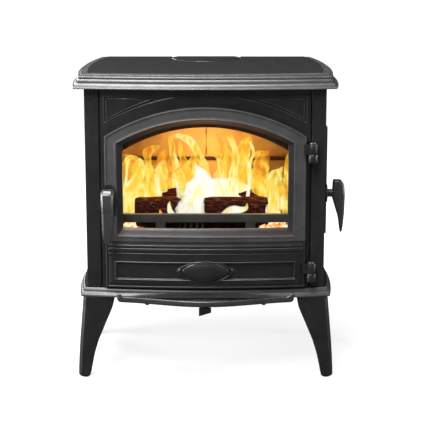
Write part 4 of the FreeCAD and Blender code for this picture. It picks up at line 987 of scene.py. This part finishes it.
def ember_bed(name, spans, count, seed):
    """Lumps of charcoal on the firebox floor, inside spans of (left, right, front, back)."""
    dice = random.Random(seed)
    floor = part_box("firebox_floor")[1].z / MM
    bm = bmesh.new()
    for _ in range(count):
        left, right, front, back = dice.choice(spans)
        size = dice.uniform(7, 15)
        heart = Vector((dice.uniform(left, right), dice.uniform(front, back),
                        floor + size * dice.uniform(0.6, 1.3)))
        corners = []
        for _ in range(LUMP_CORNERS):
            away = Vector((dice.gauss(0, 1), dice.gauss(0, 1), dice.gauss(0, 0.7))).normalized()
            corners.append(bm.verts.new((heart + away * size * dice.uniform(0.7, 1.0)) * MM))
        bmesh.ops.convex_hull(bm, input=corners)
    mesh = bpy.data.meshes.new(name)
    loose = [vert for vert in bm.verts if not vert.link_faces]
    bmesh.ops.delete(bm, geom=loose, context="VERTS")
    bm.to_mesh(mesh)
    bm.free()
    mesh.materials.append(EMBER)
    thing = bpy.data.objects.new(name, mesh)
    bpy.context.scene.collection.objects.link(thing)
    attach(thing, "stove")


def fire():
    """Flames, the three logs and the embers."""
    for name, depth, heat, hollow, spine in FLAMES:
        tongue(name, depth, heat, hollow, spine)
    barked_log("left_log_bark", "left_log", 1)
    barked_log("right_log_bark", "right_log", 2)
    barked_log("back_log_bark", "back_log", 3)
    ember_bed("embers_left", [(-200, -150, -140, -60)], 40, 4)
    ember_bed("embers_right", [(140, 200, -140, -70)], 46, 5)
    ember_bed("embers_back", [(-190, -100, -40, 90), (100, 190, -40, 90), (-95, 95, 66, 96)], 90, 6)


fire()


# ---------------------------------------------------------------- studio

def area_light(name, place, aim, size, power):
    """A soft white rectangular lamp facing a point."""
    data = bpy.data.lights.new(name, "AREA")
    data.shape = "RECTANGLE"
    data.size, data.size_y = size
    data.energy = power
    lamp = bpy.data.objects.new(name, data)
    lamp.location = place
    lamp.rotation_euler = (Vector(aim) - Vector(place)).to_track_quat("-Z", "Y").to_euler()
    bpy.context.scene.collection.objects.link(lamp)


def fire_light(name, place, power, colour, size):
    """A warm glow inside the firebox."""
    data = bpy.data.lights.new(name, "POINT")
    data.energy = power
    data.color = colour
    data.shadow_soft_size = size
    lamp = bpy.data.objects.new(name, data)
    lamp.location = place
    bpy.context.scene.collection.objects.link(lamp)


def white_world():
    """Plain white to the camera and a weak white fill for everything else."""
    world = bpy.data.worlds.new("studio_white")
    world.use_nodes = True
    tree = world.node_tree
    seen = tree.nodes["Background"]
    seen.inputs["Color"].default_value = (1, 1, 1, 1)
    seen.inputs["Strength"].default_value = 1.0
    fill = tree.nodes.new("ShaderNodeBackground")
    fill.inputs["Color"].default_value = (1, 1, 1, 1)
    fill.inputs["Strength"].default_value = 0.045
    path = tree.nodes.new("ShaderNodeLightPath")
    mix = tree.nodes.new("ShaderNodeMixShader")
    tree.links.new(path.outputs["Is Camera Ray"], mix.inputs["Fac"])
    tree.links.new(fill.outputs["Background"], mix.inputs[1])
    tree.links.new(seen.outputs["Background"], mix.inputs[2])
    tree.links.new(mix.outputs["Shader"], tree.nodes["World Output"].inputs["Surface"])
    bpy.context.scene.world = world


def floor_material():
    """Pale floor with a painted glow: dimmer near the stove, a painted shade where the soft shadow shows, and
    rising to plain white far away.
    """
    material, nodes, link, shader = new_material("pale_floor")
    tone = noise(nodes, link, 3)
    link(ramp(nodes, link, tone, [(0, grey(0.24)), (1, grey(0.26))]), shader.inputs["Base Color"])
    shader.inputs["Roughness"].default_value = 1.0
    shader.inputs["Specular IOR Level"].default_value = 0.0
    shader.inputs["Emission Color"].default_value = (1, 1, 1, 1)
    place = nodes.new("ShaderNodeNewGeometry")
    distance = nodes.new("ShaderNodeVectorMath")
    distance.operation = "LENGTH"
    link(place.outputs["Position"], distance.inputs[0])
    # painted light: the floor's glow is dimmer near the stove and brighter away from it
    glow = nodes.new("ShaderNodeMapRange")
    link(distance.outputs["Value"], glow.inputs["Value"])
    for socket, value in (("From Min", 0.3), ("From Max", 1.3), ("To Min", 0.76), ("To Max", 1.0)):
        glow.inputs[socket].default_value = value
    link(glow.outputs["Result"], shader.inputs["Emission Strength"])
    return material


def studio():
    """White world, pale floor, soft lamps round the stove and the light of the fire."""
    white_world()
    reach = 12
    mesh = bpy.data.meshes.new("floor")
    corners = [(-reach, -reach, 0), (reach, -reach, 0), (reach, reach, 0), (-reach, reach, 0)]
    mesh.from_pydata(corners, [], [(0, 1, 2, 3)])
    mesh.materials.append(floor_material())
    floor = bpy.data.objects.new("floor", mesh)
    bpy.context.scene.collection.objects.link(floor)
    floor.visible_glossy = False
    area_light("key", (-0.9, -2.4, 2.6), (0, -0.1, 0.5), (1.2, 0.8), 90)
    area_light("overhead", (-0.45, -0.75, 2.7), (0, -0.1, 0.5), (1.8, 1.1), 175)
    area_light("left_side", (-2.8, -0.25, 0.75), (0, 0, 0.4), (1.5, 1.5), 130)
    area_light("left_back", (-1.9, 2.4, 1.3), (0, 0, 0.5), (0.9, 1.2), 60)
    area_light("right_side", (2.8, -0.3, 0.8), (0, 0, 0.4), (1.0, 1.4), 40)
    fire_light("fire_heart", (0.0, 0.0, 0.52), 1.5, (1.0, 0.58, 0.2), 0.06)
    fire_light("fire_left", (-0.14, -0.06, 0.47), 0.4, (1.0, 0.56, 0.2), 0.04)
    fire_light("fire_right", (0.14, -0.06, 0.47), 0.4, (1.0, 0.56, 0.2), 0.04)


def camera():
    """A long lens a little above the stove, straight in front of it."""
    data = bpy.data.cameras.new("camera")
    data.sensor_width = 36
    data.lens = 114.9
    eye = bpy.data.objects.new("camera", data)
    eye.location = (0.0227, -3.371, 1.118)
    eye.rotation_euler = (math.radians(90 - 12.62), 0, 0)
    bpy.context.scene.collection.objects.link(eye)
    bpy.context.scene.camera = eye


studio()
camera()
bpy.context.scene.view_settings.view_transform = "Standard"
